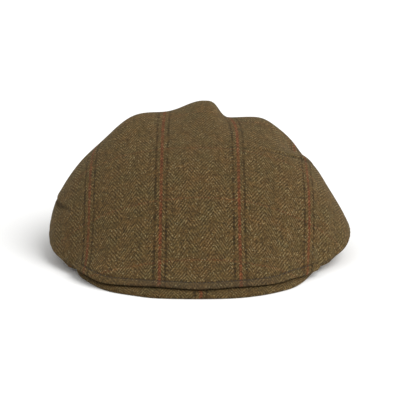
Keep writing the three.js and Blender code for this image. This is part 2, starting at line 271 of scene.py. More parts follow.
def peak_underside(angle, share):
    """Height under the peak at a share of its width, 0 at the lip and 1 at the rim."""
    rim = rim_height(head_centre - oval_radius(angle, gap) * np.cos(angle))
    lip = lip_end_lift * (angle / peak_end) ** 4
    return lip + (rim - lip) * share + peak_camber * 4 * share * (1 - share) - lip_seat


def peak_top(x, y):
    """Height of the peak's upper side over points of the table."""
    angle = np.clip(angle_of(x, y), -peak_end, peak_end)
    inner = oval_radius(angle, gap)
    outer = peak_radius(angle)
    share = np.clip((outer - np.hypot(x, y - head_centre)) / (outer - inner), 0, 1)
    return peak_underside(angle, share) + peak_wall


def edge_rise(left, place):
    """Height of the crown's edge: the table's, but always clear of the peak."""
    x, y = outline(crown_edge, left, place)
    angle = np.where(left, -1, 1) * angle_of(x, y)
    rises = [between(crown_edge[key], place, True, True) for key in ("rise_left", "rise_right")]
    given = np.where(left, *rises) * crown_height
    reach = smooth_step((peak_end - np.abs(angle)) / edge_blend)
    on_peak = peak_top(np.where(left, -x, x), y) + gap + edge_room
    return smooth_max(given, on_peak * reach, rise_blend)


lip_front = peak_top(np.zeros(1), np.full(1, -half_length))[0]
print("top of the lip:", round(float(lip_front / MM), 1), "mm")

# %% [markdown]
# The crown as a height over the table.
# The crown could be sculpted, or draped by simulation, but its shape here is known from one
# picture only, and it has to keep to the solids. So each section across it is a rounded arch
# from the crest to the edge, `(1 - r**flat)**round`, and its soft folds are bell-shaped hills
# and valleys laid on top. A fold's `across` and `along` are shares of half the width and length,
# `reach` is how far it spreads along the cap and `left` and `right` how far across it, as shares
# of the whole length and width, and `rise` is a share of the crown's height. `heading` turns it,
# and `steep` is the power in its bell on the right side: 2 is a soft hill, 4 ends in a step.

# %% Set out the sections and the folds
sections = table(
    "along crest flat_left flat_right round_left round_right",
    (-0.954, 0.06, 2, 2, 1, 1),
    (-0.8, 0.2, 2, 2, 0.95, 0.95),
    (-0.6, 0.41, 2.1, 2.1, 0.85, 0.88),
    (-0.4, 0.6, 2.2, 2.2, 0.76, 0.84),
    (-0.2, 0.755, 2.3, 2.3, 0.64, 0.8),
    (0, 0.87, 2.5, 2.6, 0.57, 0.8),
    (0.2, 0.945, 2.7, 2.9, 0.55, 0.85),
    (0.4, 0.98, 2.9, 3.3, 0.6, 0.87),
    (0.6, 0.98, 3.2, 3.9, 0.66, 0.86),
    (0.8, 0.935, 3.2, 4.2, 0.76, 0.85),
    (0.92, 0.83, 3.2, 3.8, 0.75, 0.75),
    (1, 0.608, 2.5, 2.5, 0.7, 0.7),
)
fold_columns = "across along heading reach left right rise steep".split()
folds = {
    "hump": (0.025, 0.7, 0, 0.18, 0.097, 0.056, 0.13, 4),
    "foot of the hump": (0.2, 0.72, 0, 0.15, 0.02, 0.05, -0.014, 2),
    "left shoulder": (-0.45, 0.48, 20, 0.14, 0.08, 0.1, 0.086, 2),
    "right shoulder": (0.44, 0.57, 0, 0.14, 0.05, 0.05, 0.03, 2),
    "bump": (0.77, 0.3, 25, 0.1, 0.032, 0.036, 0.03, 2.6),
    "crease": (0.66, 0.44, 25, 0.1, 0.028, 0.028, -0.07, 2),
}
for name, row in folds.items():
    print(name, "rises by", round(row[-2] * crown_height / MM, 1), "mm")

# %% Shape the crown
brow_slope = 0.5  # how steeply the crown leaves its front edge, at the least
brow_reach = 25 * MM
brow_fade = 100 * MM
fold_fade = 0.3  # folds fade over this share of the way in from the edge


def crown_top(x, y):
    """Height of the crown's outer side over points of the table."""
    left = x < 0
    place = place_of(lambda p: outline(crown_edge, left, p)[1], y, len(crown_edge["along"]))
    width = outline(crown_edge, left, place)[0]
    row = place_of(lambda p: between(sections["along"], p), y / half_length, len(sections["along"]))
    r = np.clip(np.abs(x) / np.maximum(width, 1e-6), 0, 1)
    edge = edge_rise(left, place)
    behind_front = y - crown_edge["along"][0] * half_length
    brow = 1 - smooth_step(behind_front / brow_fade)
    least = edge + brow_slope * np.minimum(behind_front, brow_reach) * brow
    crest = smooth_max(between(sections["crest"], row) * crown_height, least, brow * MM / 2)
    flat, rounding = (
        np.where(left, *(between(sections[f"{name}_{side}"], row) for side in ("left", "right")))
        for name in ("flat", "round")
    )
    height = (1 - r**flat) ** rounding
    out = np.hypot(x, y - head_centre) / radius_at(crown_edge, angle_of(x, y))
    folded = 0
    for fold_row in folds.values():
        fold = dict(zip(fold_columns, fold_row))
        turn = math.radians(fold["heading"])
        dx = x - fold["across"] * half_width
        dy = y - fold["along"] * half_length
        along = dx * math.sin(turn) + dy * math.cos(turn)
        across = dx * math.cos(turn) - dy * math.sin(turn)
        half = np.where(across < 0, fold["left"], fold["right"]) * cap_width
        power = np.where(across < 0, 2, fold["steep"])
        hill = np.exp(-(np.abs(across / half) ** power)) * bell(along / (fold["reach"] * cap_length))
        folded = folded + fold["rise"] * crown_height * hill
    return edge + (crest - edge) * height + folded * smooth_step((1 - out) / fold_fade)


middle = crown_top(np.zeros(3), np.array([-0.9, 0.3, 0.75]) * half_length)
print("crown along its middle line:", np.round(middle / MM, 1), "mm")

# %% [markdown]
# From lines to cloth.
# Every piece is cut by the same upright planes through the head's centre, so neighbours meet
# point for point along a seam. In each plane a line is measured by its own length and divided
# again: close together near a seam or a fold, where cloth bends, and wide apart elsewhere.

# %% Measure and divide the lines
def in_plane(angles, out, up):
    """Points out from the head's centre and up, in the upright plane at each angle."""
    sine, cosine = np.sin(angles), np.cos(angles)
    while sine.ndim < np.ndim(out):
        sine, cosine = sine[:, None], cosine[:, None]
    return np.stack([out * sine, head_centre - out * cosine, up + 0 * sine], -1)


def lengths(points):
    """Length along each line up to each of its points."""
    steps = np.linalg.norm(np.diff(points, axis=-2), axis=-1)
    return np.concatenate([np.zeros(steps.shape[:-1] + (1,)), np.cumsum(steps, -1)], -1)


def divide(lines, places):
    """Each line at new places, given as lengths from its start."""
    found = [
        [np.interp(place, length, line[:, k]) for k in range(line.shape[1])]
        for line, length, place in zip(lines, lengths(lines), places)
    ]
    return np.moveaxis(np.array(found), 1, 2)


def unit(v):
    """Vectors of length 1 in the same directions."""
    return v / np.maximum(np.linalg.norm(v, axis=-1, keepdims=True), 1e-12)


close_rows = np.array([0, 0.45, 0.9, 1.4, 2, 2.8, 3.6, 4.3, 5, 5.7, 6.6, 8]) * MM  # from an edge
turn_step = 1  # degrees
by_back_seam = np.array([178.6, 179.3, 179.65, 179.9])  # more planes close to the back seam
even_turns = np.arange(-180 + turn_step, 180 + turn_step, turn_step, dtype=float)
angles = np.radians(np.sort(np.concatenate([even_turns, by_back_seam, -by_back_seam])))
print(len(angles), "planes round the head")

# %% [markdown]
# The crown's outer side.
# Rings run from the middle of the crown to its edge. A ring's place is measured back from the
# edge, so the topstitching and the seam keep their distance from it all the way round. The free
# front edge is weighed down by its hem: it reaches forward and droops to just above the peak.

# %% Lay the crown's rings
free_until = 44  # degrees from the front, where the front edge begins to be sewn down
sewn_within = 5  # degrees further on it is wholly sewn
hem_reach = {"out": 2.2 * MM, "more": 1.8 * MM, "at": math.radians(30), "spread": math.radians(13)}
hem_fade = 22 * MM
hem_stand = 3.2 * MM  # from the peak's top up to the crown's outer side
hem_droop = 5 * MM  # the last stretch of the crown bends down to its hem
droop_share = 0.65  # and takes this share of the drop
low_rings = {"up_to": 44 * MM, "count": 26}  # close enough together for a sharp crease
wide_rings = 50
samples = 1 - (1 - np.linspace(0, 1, 261)) ** 3  # closer together near the edge, where it is steep
edge_out = radius_at(crown_edge, angles)
out = edge_out[:, None] * samples
plan = in_plane(angles, out, 0 * out)
up = crown_top(plan[..., 0].ravel(), plan[..., 1].ravel()).reshape(out.shape)
crown_lines = np.stack([out, up], -1)

# 0 where the edge is free, 1 where it is sewn
sewn = smooth_step((np.degrees(np.abs(angles)) - free_until) / sewn_within)
hem_round = cloth_wall / 2
whole = lengths(crown_lines)[:, -1] - hem_round * (1 - sewn)
low = np.linspace(low_rings["up_to"], close_rows[-1], low_rings["count"])
wide = (whole - low[0])[:, None] * np.linspace(0, 1, wide_rings + 1)[1:]
near_edge = np.concatenate([low[1:], close_rows[::-1][1:]])
ring_places = np.concatenate([wide, whole[:, None] - near_edge], 1)
crown_line = divide(crown_lines, ring_places)
from_edge = whole[:, None] - ring_places

free = 1 - sewn
to_side = (np.abs(angles) - hem_reach["at"]) / hem_reach["spread"]
hem_out = (hem_reach["out"] + hem_reach["more"] * bell(to_side)) * free
crown_line[..., 0] += hem_out[:, None] * bell(from_edge / hem_fade)
hem_place = in_plane(angles, crown_line[:, -1, 0], 0 * free)
left_lift = edge_lift["rise"] * bell((angles - edge_lift["angle"]) / edge_lift["spread"])
hem_height = peak_top(hem_place[:, 0], hem_place[:, 1]) + hem_stand + left_lift
drop = (crown_line[:, -1, 1] - hem_height) * free
bend_down = (1 - droop_share) * bell(from_edge / hem_fade)
bend_down += droop_share * bell(from_edge / hem_droop)
crown_line[..., 1] -= drop[:, None] * bend_down
print(crown_line.shape[1], "rings; longest line", round(float(whole.max() / MM)), "mm")
print("front hem drops by", round(float(drop[np.abs(angles) < 0.01][0] / MM), 1), "mm")

# %% [markdown]
# The side panels' lines.
# A panel leaves the seam, slants under to the rim and ends in a short upright fold on the table.
# A few rounds of smoothing turn that corner into a soft bend, as cloth has over its own seam
# allowance. At its front end the panel is tucked in over the end of the peak.

# %% Lay the side panels' rows
slant_rows = 16
slant_samples = 60
line_samples = 80
near_share = 0.4  # the close rows by the seam take at most this share of a line
panel_sag = 0.05
rim_room = 1.2 * cloth_wall
rim_blend = 3 * MM
panel_start = 48  # degrees from the front
tuck = {"over": math.radians(7), "behind_lip": 3 * MM}
smoothings = 6


def panel_lines(angles, seam_out, seam_up):
    """Lines of [out, up] from the seam under to the table, one for each angle."""
    oval = oval_radius(angles, gap)
    rim = smooth_max(oval, peak_radius(angles) + gap, rim_blend) + rim_room
    full = smooth_step((np.abs(angles) - math.radians(panel_start)) / tuck["over"])
    on_lip = peak_radius(angles) - tuck["behind_lip"]
    rim = np.minimum(on_lip + (rim - on_lip) * full, seam_out - rim_fold / 2)
    place = in_plane(angles, rim, 0 * rim)
    lip_height = peak_top(place[:, 0], place[:, 1]) + gap
    foot_up = lip_height + (hem_round - lip_height) * full
    fold = foot_up + np.minimum(rim_fold - hem_round, (seam_up - foot_up) / 3)
    t = np.linspace(0, 1, slant_samples)
    slant_out = seam_out[:, None] + (rim - seam_out)[:, None] * t
    sag = panel_sag * (seam_up - fold)[:, None] * np.sin(np.pi * t)
    slant_up = seam_up[:, None] + (fold - seam_up)[:, None] * t - sag
    foot = np.stack([rim, foot_up], -1)[:, None]
    lines = np.concatenate([np.stack([slant_out, slant_up], -1), foot], 1)
    even = lengths(lines)[:, -1:] * np.linspace(0, 1, line_samples)
    lines = divide(lines, even)
    for _ in range(smoothings):
        lines[:, 1:-1] = (lines[:, :-2] + 2 * lines[:, 1:-1] + lines[:, 2:]) / 4
    return lines


edge_up = crown_lines[:, -1, 1]
panels = panel_lines(angles, edge_out, edge_up)
down = lengths(panels)[:, -1:]
near = np.minimum(close_rows[:-1], down * near_share * close_rows[:-1] / close_rows[-2])
rest = near[:, -1:] + (down - near[:, -1:]) * np.linspace(0, 1, slant_rows + 1)[1:]
row_places = np.concatenate([near, rest], 1)
panel_line = divide(panels, row_places)
print(panel_line.shape[1], "rows; longest", round(float(down.max() / MM)), "mm")

# %% [markdown]
# Seams that pull in.
# Where two edges are sewn, the thread pulls both down into a groove. Moving the rows next to the
# seam inwards by a bell curve draws that groove. The direction is the bisector of the corner, the
# same for both pieces, so that they still meet.

# %% Pull the seams in
groove_depth = 1.1 * MM
groove_width = 1.3 * MM
least_meeting = 0.6  # keeps the mitre short where the corner is sharpest
# Painted shade: the bottom of a seam is painted darker by this share
seam_painted_shade = 0.6  # how much less light reaches the bottom of a seam
seam_shade = 0.8 * MM


def inward(direction):
    """The normal on the inner side of a line of [out, up] that runs down and out."""
    return np.stack([direction[..., 1], -direction[..., 0]], -1)


crown_end = unit(crown_line[:, -1] - crown_line[:, -3])
panel_begin = unit(panel_line[:, 2] - panel_line[:, 0])
corner = inward(crown_end) + inward(panel_begin)
bisector = unit(corner)
pull = (groove_depth * sewn)[:, None, None] * bisector[:, None]
crown_line = crown_line + pull * bell(from_edge / groove_width)[..., None]
panel_line = panel_line + pull * bell(row_places / groove_width)[..., None]

# 1 + the cosine between the two normals
meeting = np.maximum((corner**2).sum(-1) / 2, least_meeting)
mitre = crown_line[:, -1] + corner * (cloth_wall / meeting)[:, None]
print("sharpest corner:", round(float(np.degrees(np.arccos(meeting.min() - 1)))), "degrees")

# %% [markdown]
# Soft unevenness.
# Wool cloth over air is never quite smooth. Slow noise gives it the shallow dents of handling,
# and quicker ripples next to a seam show where the longer edge was eased into the shorter one.
# A dent is a real shape here, so it shows in any light.

# %% Add dents and ripples
dent_height = 0.7 * MM
dent_size = 38 * MM
ripple_height = 0.22 * MM
ripple_reach = 9 * MM
ripple_start = 2 * MM
ripples = 74  # round the whole edge
ripple_drift = {"by": 9, "scale": 3, "slice": 5}  # the waves wander by up to 9 radians
calm_edge = 6 * MM  # no dent comes closer to an edge than about this


def dents(points, seed):
    """Slow noise from -1 to 1 at each point."""
    flat = points.reshape(-1, 3) / dent_size
    found = [noise.noise(Vector(p) + Vector((seed, 0, 0))) for p in flat]
    return np.array(found).reshape(points.shape[:-1])


def normals(grid, round_the_head):
    """Outward normals of a grid of points [angle, row]."""
    if round_the_head:
        across = np.roll(grid, -1, 0) - np.roll(grid, 1, 0)
    else:
        across = np.gradient(grid, axis=0)
    return unit(np.cross(np.gradient(grid, axis=1), across))


def eased(angles, distance):
    """Ripples that die out away from a seam, and wander so that no two are alike."""
    scale, part = ripple_drift["scale"], ripple_drift["slice"]
    wander = np.array([noise.noise(Vector((scale * a, part, 0))) for a in angles])
    wave = np.sin(ripples * angles + ripple_drift["by"] * wander)[:, None]
    fade = bell(distance / ripple_reach) * (1 - bell(distance / ripple_start))
    return ripple_height * wave * fade


crown_outer = in_plane(angles, crown_line[..., 0], crown_line[..., 1])
shift = dent_height * dents(crown_outer, 0) * (1 - bell(from_edge / calm_edge))
shift = shift + eased(angles, from_edge) * sewn[:, None]
print("dents from", round(float(shift.min() / MM), 2), "to", round(float(shift.max() / MM), 2), "mm")

# %% [markdown]
# Creases, and a channel for the topstitching.
# Two creases are left from handling: each is a narrow valley under a small roll. It follows a line
# of distances from the crown's edge, in millimetres at some angles in degrees. Along the hem the
# topstitching presses the cloth into a shallow channel. Little light reaches the bottom of either,
# so a share from 0 to 1 is kept there, for the material to paint in as shade.

# %% Crease the crown
stitch_line = 5 * MM  # from the crown's edge to its topstitching
channel_depth = 0.6 * MM
channel_width = 0.9 * MM
# Painted shade in the stitch channel, as a share
channel_painted_shade = 0.45
creases = (
    dict(
        angles=(-106, -91, -81, -66),
        edge=(13, 18, 24, 37),
        middle=-82,
        spread=13,
        depth=1.7,
        width=1.4,
    ),
    dict(
        angles=(76, 84, 94, 106),
        edge=(106, 91, 64, 42),
        middle=93,
        spread=12,
        depth=1.2,
        width=3.4,
    ),
)
roll = {"above": 2.2, "width": 1.8}  # in widths of the crease
roll_share = 0.45  # of the crease's depth
# A crease is painted darker as shade, more the deeper it is
dark_depth = 2.4  # millimetres, a crease as deep as this is quite dark


def creased(crease):
    """How deep a crease is at each plane and ring, from 0 to 1, and the roll above it."""
    degrees = np.degrees(angles)
    line = np.interp(degrees, crease["angles"], crease["edge"])
    above = (from_edge / MM - line[:, None]) / crease["width"]
    there = bell((degrees - crease["middle"]) / crease["spread"])[:, None]
    return there * bell(above), there * bell((above - roll["above"]) / roll["width"])


channel = bell((from_edge - stitch_line) / channel_width) * (1 - sewn[:, None])
shift = shift - channel_depth * channel
# Painted shade: darker in the stitch channel, at the seam and in the creases
painted_shade = channel_painted_shade * channel + seam_painted_shade * sewn[:, None] * bell(from_edge / seam_shade)
for crease in creases:
    valley, raised = creased(crease)
    shift = shift - crease["depth"] * MM * (valley - roll_share * raised)
    painted_shade = painted_shade + crease["depth"] / dark_depth * valley
crown_outer = crown_outer + normals(crown_outer, True) * shift[..., None]
print("deepest crease:", round(float(-shift.min() / MM), 2), "mm; darkest dust:", round(painted_shade.max(), 2))

# %% [markdown]
# Building a piece of cloth.
# A piece of cloth is a front and a back grid, closed round its rims. Writing the vertices and
# faces straight into a mesh is quick, and leaves no stray edges for a modifier to find. The UV
# map `weave` holds millimetres along the threads, so that the same weave fits every piece.

# %% Make a mesh from two grids
def grid_faces(rows_of_points, closed_round):
    """Quads of a grid of vertex numbers [angle, row]."""
    nxt = np.roll(rows_of_points, -1, 0)
    if not closed_round:
        rows_of_points, nxt = rows_of_points[:-1], nxt[:-1]
    corners = (rows_of_points[:, :-1], nxt[:, :-1], nxt[:, 1:], rows_of_points[:, 1:])
    return np.stack(corners, -1).reshape(-1, 4)


print("faces of 4 lines of 3 points, closed round:", len(grid_faces(np.arange(12).reshape(4, 3), True)))


def mesh_object(name, points, faces, places):
    """A smooth mesh object with its threads' places in millimetres as a UV map."""
    mesh = bpy.data.meshes.new(name)
    mesh.from_pydata(points.tolist(), [], [list(map(int, face)) for face in faces])
    first, second, third = (points[[face[k] for face in faces]] for k in range(3))
    if (np.cross(second - first, third - first) * first).sum() < 0:
        mesh.flip_normals()
    layer = mesh.uv_layers.new(name="weave")
    corner_points = np.zeros(len(mesh.loops), int)
    mesh.loops.foreach_get("vertex_index", corner_points)
    layer.data.foreach_set("uv", (places[corner_points] / MM).astype(np.float32).ravel())
    mesh.shade_smooth()
    piece = bpy.data.objects.new(name, mesh)
    bpy.context.collection.objects.link(piece)
    return piece


# %% Join two grids to a piece of cloth
def cloth(name, front, back, weave, closed_round=False, poles=None):
    """A piece with two sides: grids of points [angle, row], closed at every rim."""
    around, rows = front.shape[:2]
    points = np.concatenate([front.reshape(-1, 3), back.reshape(-1, 3)])
    number = np.arange(2 * around * rows).reshape(2, around, rows)
    faces = [grid_faces(number[0], closed_round), grid_faces(number[1, :, ::-1], closed_round)]
    faces.append(grid_faces(np.stack([number[0, :, -1], number[1, :, -1]], 1), closed_round))
    places = np.concatenate([weave.reshape(-1, 2)] * 2)
    if poles is None:
        faces.append(grid_faces(np.stack([number[1, :, 0], number[0, :, 0]], 1), closed_round))
    else:
        points = np.concatenate([points, poles])
        places = np.concatenate([places, weave[:, 0].mean(0)[None].repeat(2, 0)])
        for side, pole in enumerate((len(points) - 2, len(points) - 1)):
            ring = number[side, :, 0]
            fan = (np.full(around, pole), np.roll(ring, -1), ring)
            faces.append(np.stack(fan if side == 0 else fan[::-1], 1))
    if not closed_round:
        faces.append(grid_faces(np.stack([number[1, 0], number[0, 0]]), False))
        faces.append(grid_faces(np.stack([number[0, -1], number[1, -1]]), False))
    piece = mesh_object(name, points, [face for group in faces for face in group], places)
    print(name, "faces:", len(piece.data.polygons))
    return piece


print("each piece has a front, a back, and rims", round(cloth_wall / MM, 1), "mm wide")

# %% [markdown]
# Where the threads lie.
# Cloth is cut flat, and its threads stay straight and square as far as the shape allows. So each
# piece is laid flat again to find them. Every small triangle wants to keep its shape and only
# turn, and a table of pulls between neighbours is solved again and again until all of them agree
# as well as they can. A map drawn straight down on the cloth would be simpler, but it would skew
# the herringbone wherever the crown slopes two ways at once.

# %% Lay a curved piece flat
def flatten(grid, guess, closed_round, rounds=80, least_hold=0.02):
    """Places on flat cloth for a grid of points, with as little stretch as the shape allows."""
    points, flat = grid.reshape(-1, 3), guess.reshape(-1, 2)
    quads = grid_faces(np.arange(len(points)).reshape(grid.shape[:2]), closed_round)
    faces = np.concatenate([quads[:, [0, 1, 2]], quads[:, [0, 2, 3]]])
    first, second, third = (flat[faces[:, k]] for k in range(3))
    area = np.linalg.det(np.stack([second - first, third - first], 1)).sum()
    faces = faces if area > 0 else faces[:, ::-1]

    # Each triangle's sides, measured in its own plane
    sides = np.roll(points[faces], -1, 1) - points[faces]
    along = unit(sides[:, 0])
    across = np.cross(unit(np.cross(sides[:, 0], sides[:, 1])), along)
    own = (sides @ np.stack([along, across], -1)) @ np.array([1, 1j])
    before, after = np.roll(sides, 1, 1), -np.roll(sides, -1, 1)
    hold = (before * after).sum(-1) / np.linalg.norm(np.cross(before, after), axis=-1)
    hold = np.maximum(hold, least_hold)

    # How strongly neighbouring points hold each other
    ends = np.roll(faces, -1, 1)
    tie = np.zeros((len(points), len(points)))
    for one, other in ((faces, ends), (ends, faces)):
        np.add.at(tie, (one, one), hold)
        np.add.at(tie, (one, other), -hold)
    tie[0, 0] += 1
    answer = np.linalg.inv(tie)
    laid = flat @ np.array([1, 1j])
    for _ in range(rounds):
        seen = laid[ends] - laid[faces]
        turn = (hold * own.conj() * seen).sum(1, keepdims=True)
        wanted = hold * own * turn / np.abs(turn)
        pull = np.zeros(len(points), complex)
        np.add.at(pull, ends, wanted)
        np.add.at(pull, faces, -wanted)
        laid = answer @ pull
    centred, guessed = laid - laid.mean(), flat @ np.array([1, 1j])
    turn = (centred.conj() * (guessed - guessed.mean())).sum()
    laid = centred * turn / abs(turn) + guessed.mean()
    seen = np.abs(laid[ends] - laid[faces]) / np.abs(own)
    print("stretch from", round(float(seen.min()), 2), "to", round(float(seen.max()), 2))
    return np.stack([laid.real, laid.imag], -1).reshape(guess.shape)


# A strip bent one way only has to lie flat without any stretch
bend, side = np.linspace(0, 1, 9)[:, None], np.linspace(0, 1, 5)
strip = np.stack(np.broadcast_arrays(np.sin(bend), side, np.cos(bend)), -1)
flatten(strip, np.stack(np.broadcast_arrays(bend, side), -1), False)

# %% [markdown]
# From a coarse grid to all the cloth.
# The table of pulls grows with the square of the number of points, so only some of the planes and
# rows are laid flat. What that changes is spread over those between by straight lines, which is
# close enough, because the change is slow and smooth.

# %% Lay the threads
crown_laid = {"planes": 6, "rings": 19}  # every sixth plane, and this many rings
panel_laid = {"planes": 36, "rows": 2}  # this many planes, and every second row


def threads(grid, guess, closed_round, planes, rows):
    """Flatten some planes and rows of a grid, and spread what that changes over all of them."""
    change = flatten(grid[planes][:, rows], guess[planes][:, rows], closed_round)
    change = change - guess[planes][:, rows]
    every_row = np.arange(grid.shape[1])
    wide = np.empty((len(planes), grid.shape[1], 2))
    for at, line in enumerate(change):
        wide[at] = np.stack([np.interp(every_row, rows, line[:, k]) for k in range(2)], -1)
    place = np.arange(len(grid))
    if closed_round:
        planes = np.concatenate([planes, planes[:1] + len(grid)])
        wide = np.concatenate([wide, wide[:1]])
        place = np.where(place < planes[0], place + len(grid), place)
    spread = [
        np.stack([np.interp(place, planes, wide[:, row, k]) for row in every_row], -1)
        for k in range(2)
    ]
    return guess + np.stack(spread, -1)


laid_points = len(angles) // crown_laid["planes"] * crown_laid["rings"]
print("the crown is laid flat by about", laid_points, "of its", crown_outer[..., 0].size, "points")

# %% [markdown]
# Ends across the crown.
# On the crown the warp ends keep an even distance from each other, because the hem along the
# front edge holds them. So the flattened map gives the places along them, and across them counts
# the length over the crown from its middle line.

# %% Measure across the crown
across_rows = 160
front_y, back_y = crown_edge["along"][0] * half_length, half_length
row_y = np.linspace(front_y + MM / 2, back_y - MM / 2, across_rows)
row_place = place_of(lambda p: outline(crown_edge, True, p)[1], row_y, len(crown_edge["along"]))


def side_lengths(left):
    """Length over the crown at each row of the table for each sample, and the row's width."""
    width = outline(crown_edge, np.full(across_rows, left), row_place)[0]
    x = (-1 if left else 1) * width[:, None] * samples
    y = np.repeat(row_y[:, None], len(samples), 1)
    up = crown_top(x.ravel(), y.ravel()).reshape(x.shape)
    return lengths(np.stack([x, up], -1)), width


def across_crown(x, y):
    """Length over the crown from its middle line to each point, the right side positive."""
    row = np.interp(y, row_y, np.arange(across_rows))
    i = np.clip(np.floor(row), 0, across_rows - 2).astype(int)
    f = row - i
    found = []
    for left in (True, False):
        measured, width = side_lengths(left)
        column = np.interp(np.abs(x) / np.interp(y, row_y, width), samples, np.arange(len(samples)))
        j = np.clip(np.floor(column), 0, len(samples) - 2).astype(int)
        g = column - j
        near_row = measured[i, j] * (1 - g) + measured[i, j + 1] * g
        far_row = measured[i + 1, j] * (1 - g) + measured[i + 1, j + 1] * g
        found.append(near_row * (1 - f) + far_row * f)
    return np.where(x < 0, -found[0], found[1])


side_to_side = sum(side_lengths(left)[0].max() for left in (True, False))
print("over the crown, side to side:", round(float(side_to_side / MM)), "mm")

# %% [markdown]
# The crown's two sides.
# The inner side is the outer one moved in by the cloth's thickness. At the free front edge the
# cloth is turned under, so a half round joins both sides. Where the edge is sewn, both sides end
# on the mitre between the crown and the panel. A Solidify modifier could add the thickness, but
# it can't tell a turned hem from a seam.

# %% Turn an edge
hem_turns = np.radians([40, 80])  # where the half round has its rows, before and after its middle


def close_in(outer, inner_corner, distance, until=5 * MM):
    """The inner side: parallel to the outer, and straight to its corner close to the edge."""
    inner = outer - normals(outer, len(outer) == len(angles)) * cloth_wall
    share = np.clip(distance / until, 0, 1)[..., None]
    last = np.argmax(distance < until, axis=1) - 1
    anchor = inner[np.arange(len(inner)), last][:, None]
    straight = inner_corner[:, None] + (anchor - inner_corner[:, None]) * share
    return np.where(distance[..., None] < until, straight, inner)


def turned(start, direction, turn, corner_point, share):
    """A point of the half round at an edge, or of the straight mitre where it is sewn."""
    normal = inward(direction)
    arc = start + normal * hem_round * (1 - math.cos(turn)) + direction * hem_round * math.sin(turn)
    straight = start + (corner_point - start) * turn / math.pi
    return arc + (straight - arc) * share[:, None]


print("a hem is", round(2 * hem_round / MM, 1), "mm thick")

# %% Close the crown's edge
edge_line = crown_line[:, -1]
turns = [turned(edge_line, crown_end, turn, mitre, sewn) for turn in hem_turns]
back_turns = [turned(edge_line, crown_end, math.pi - turn, mitre, sewn) for turn in hem_turns]
crown_corner = turned(edge_line, crown_end, math.pi, mitre, sewn)


def stack_rows(grid, lines):
    """A grid with more rows, given as lines of [out, up] for each angle."""
    rows = [in_plane(angles, line[:, 0], line[:, 1])[:, None] for line in lines]
    return np.concatenate([grid, *rows], 1)


crown_front = stack_rows(crown_outer, turns)
corner_points = in_plane(angles, crown_corner[:, 0], crown_corner[:, 1])
crown_back = stack_rows(close_in(crown_outer, corner_points, from_edge), back_turns)
print("rows on each side of the crown:", crown_front.shape[1])

# %% [markdown]
# The crown's threads.
# This cap's cloth was pulled a little out of line when its crown was drawn forward: the stripe on
# the left side runs outwards near the front. `side_pull` says by how much, from how far out over
# which width, and how far behind the front edge that has faded away.

# %% Lay the crown's threads
side_pull = {"by": 4.5 * MM, "from": 45 * MM, "over": 40 * MM, "fade": 110 * MM}
ring_choice = np.linspace(0, crown_outer.shape[1] - 1, crown_laid["rings"])
ring_choice = np.unique(ring_choice.astype(int))
plane_choice = np.arange(0, len(angles), crown_laid["planes"])
weave = threads(crown_outer, crown_outer[..., :2], True, plane_choice, ring_choice)
weave[..., 0] = across_crown(crown_outer[..., 0], crown_outer[..., 1])
behind_edge = crown_outer[..., 1] - front_y
at_side = smooth_step((-weave[..., 0] - side_pull["from"]) / side_pull["over"])
weave[..., 0] += side_pull["by"] * at_side * (1 - smooth_step(behind_edge / side_pull["fade"]))
# Over the hem and into the seam the threads run straight on
last = crown_line.shape[1] - len(close_rows)
over_hem = lengths(crown_line)
over_hem = (over_hem - over_hem[:, last][:, None])[:, last + 1 :, None]
step = unit(weave[:, last] - weave[:, last - 2])[:, None]
weave[:, last + 1 :] = weave[:, last][:, None] + step * over_hem


def carry_on(laid):
    """The threads run on round the edge of a piece."""
    ahead = unit(laid[:, -1] - laid[:, -3])
    beyond = [(laid[:, -1] + ahead * hem_round * turn)[:, None] for turn in hem_turns]
    return np.concatenate([laid, *beyond], 1)


weave = carry_on(weave)
print("threads from", *np.round(weave.min((0, 1)) / MM), "to", *np.round(weave.max((0, 1)) / MM), "mm")

# %% [markdown]
# The crown, and marks for its material.
# The front hem was pressed flat, and the shade in seams, creases and the stitch channel is painted into
# the colour.
# The material can't know where those are, so each point of the mesh carries two shares from 0 to
# 1. Vertex paint by hand would do that too, but a formula follows the seam exactly.

# %% Make the crown
pressed_until = 14  # degrees from the front
pressed_fade = 20
hem_mark = {"past_stitches": 0.5 * MM, "soft": MM}


def mark(piece, name, rows, last):
    """Write a share from 0 to 1 on each point of a piece, for its material to read."""
    side = np.concatenate([rows] + [last] * len(hem_turns), 1).ravel()
    values = np.zeros(len(piece.data.vertices), np.float32)
    values[: 2 * len(side)] = np.concatenate([side, side])
    layer = piece.data.attributes.new(name, "FLOAT", "POINT")
    layer.data.foreach_set("value", values)
    print(piece.name, "marked as", name, "on average", round(float(values.mean()), 3))


pole_height = crown_front[:, 0, 2].mean()
poles = np.array([[0, head_centre, pole_height], [0, head_centre, pole_height - cloth_wall]])
crown_cloth = cloth("crown_cloth", crown_front, crown_back, weave, True, poles)

pressed = (np.abs(angles) - math.radians(pressed_until)) / math.radians(pressed_fade)
pressed = 1 - smooth_step(pressed)[:, None]
within = stitch_line + hem_mark["past_stitches"] - from_edge
on_hem = smooth_step(within / hem_mark["soft"]) * pressed
mark(crown_cloth, "hem", on_hem, pressed)
# Painted shade in the crown's seam, creases and stitch channel
mark(crown_cloth, "painted_shade", painted_shade, seam_painted_shade * sewn[:, None])

# %% [markdown]
# The side panels.
# Each panel is built from the seam down, like the crown. The two meet in one more seam at the
# middle of the back. Their threads follow the seam, so at the back the stripes of the two panels
# meet at a slant, as on a cap whose panels are cut as mirror images.

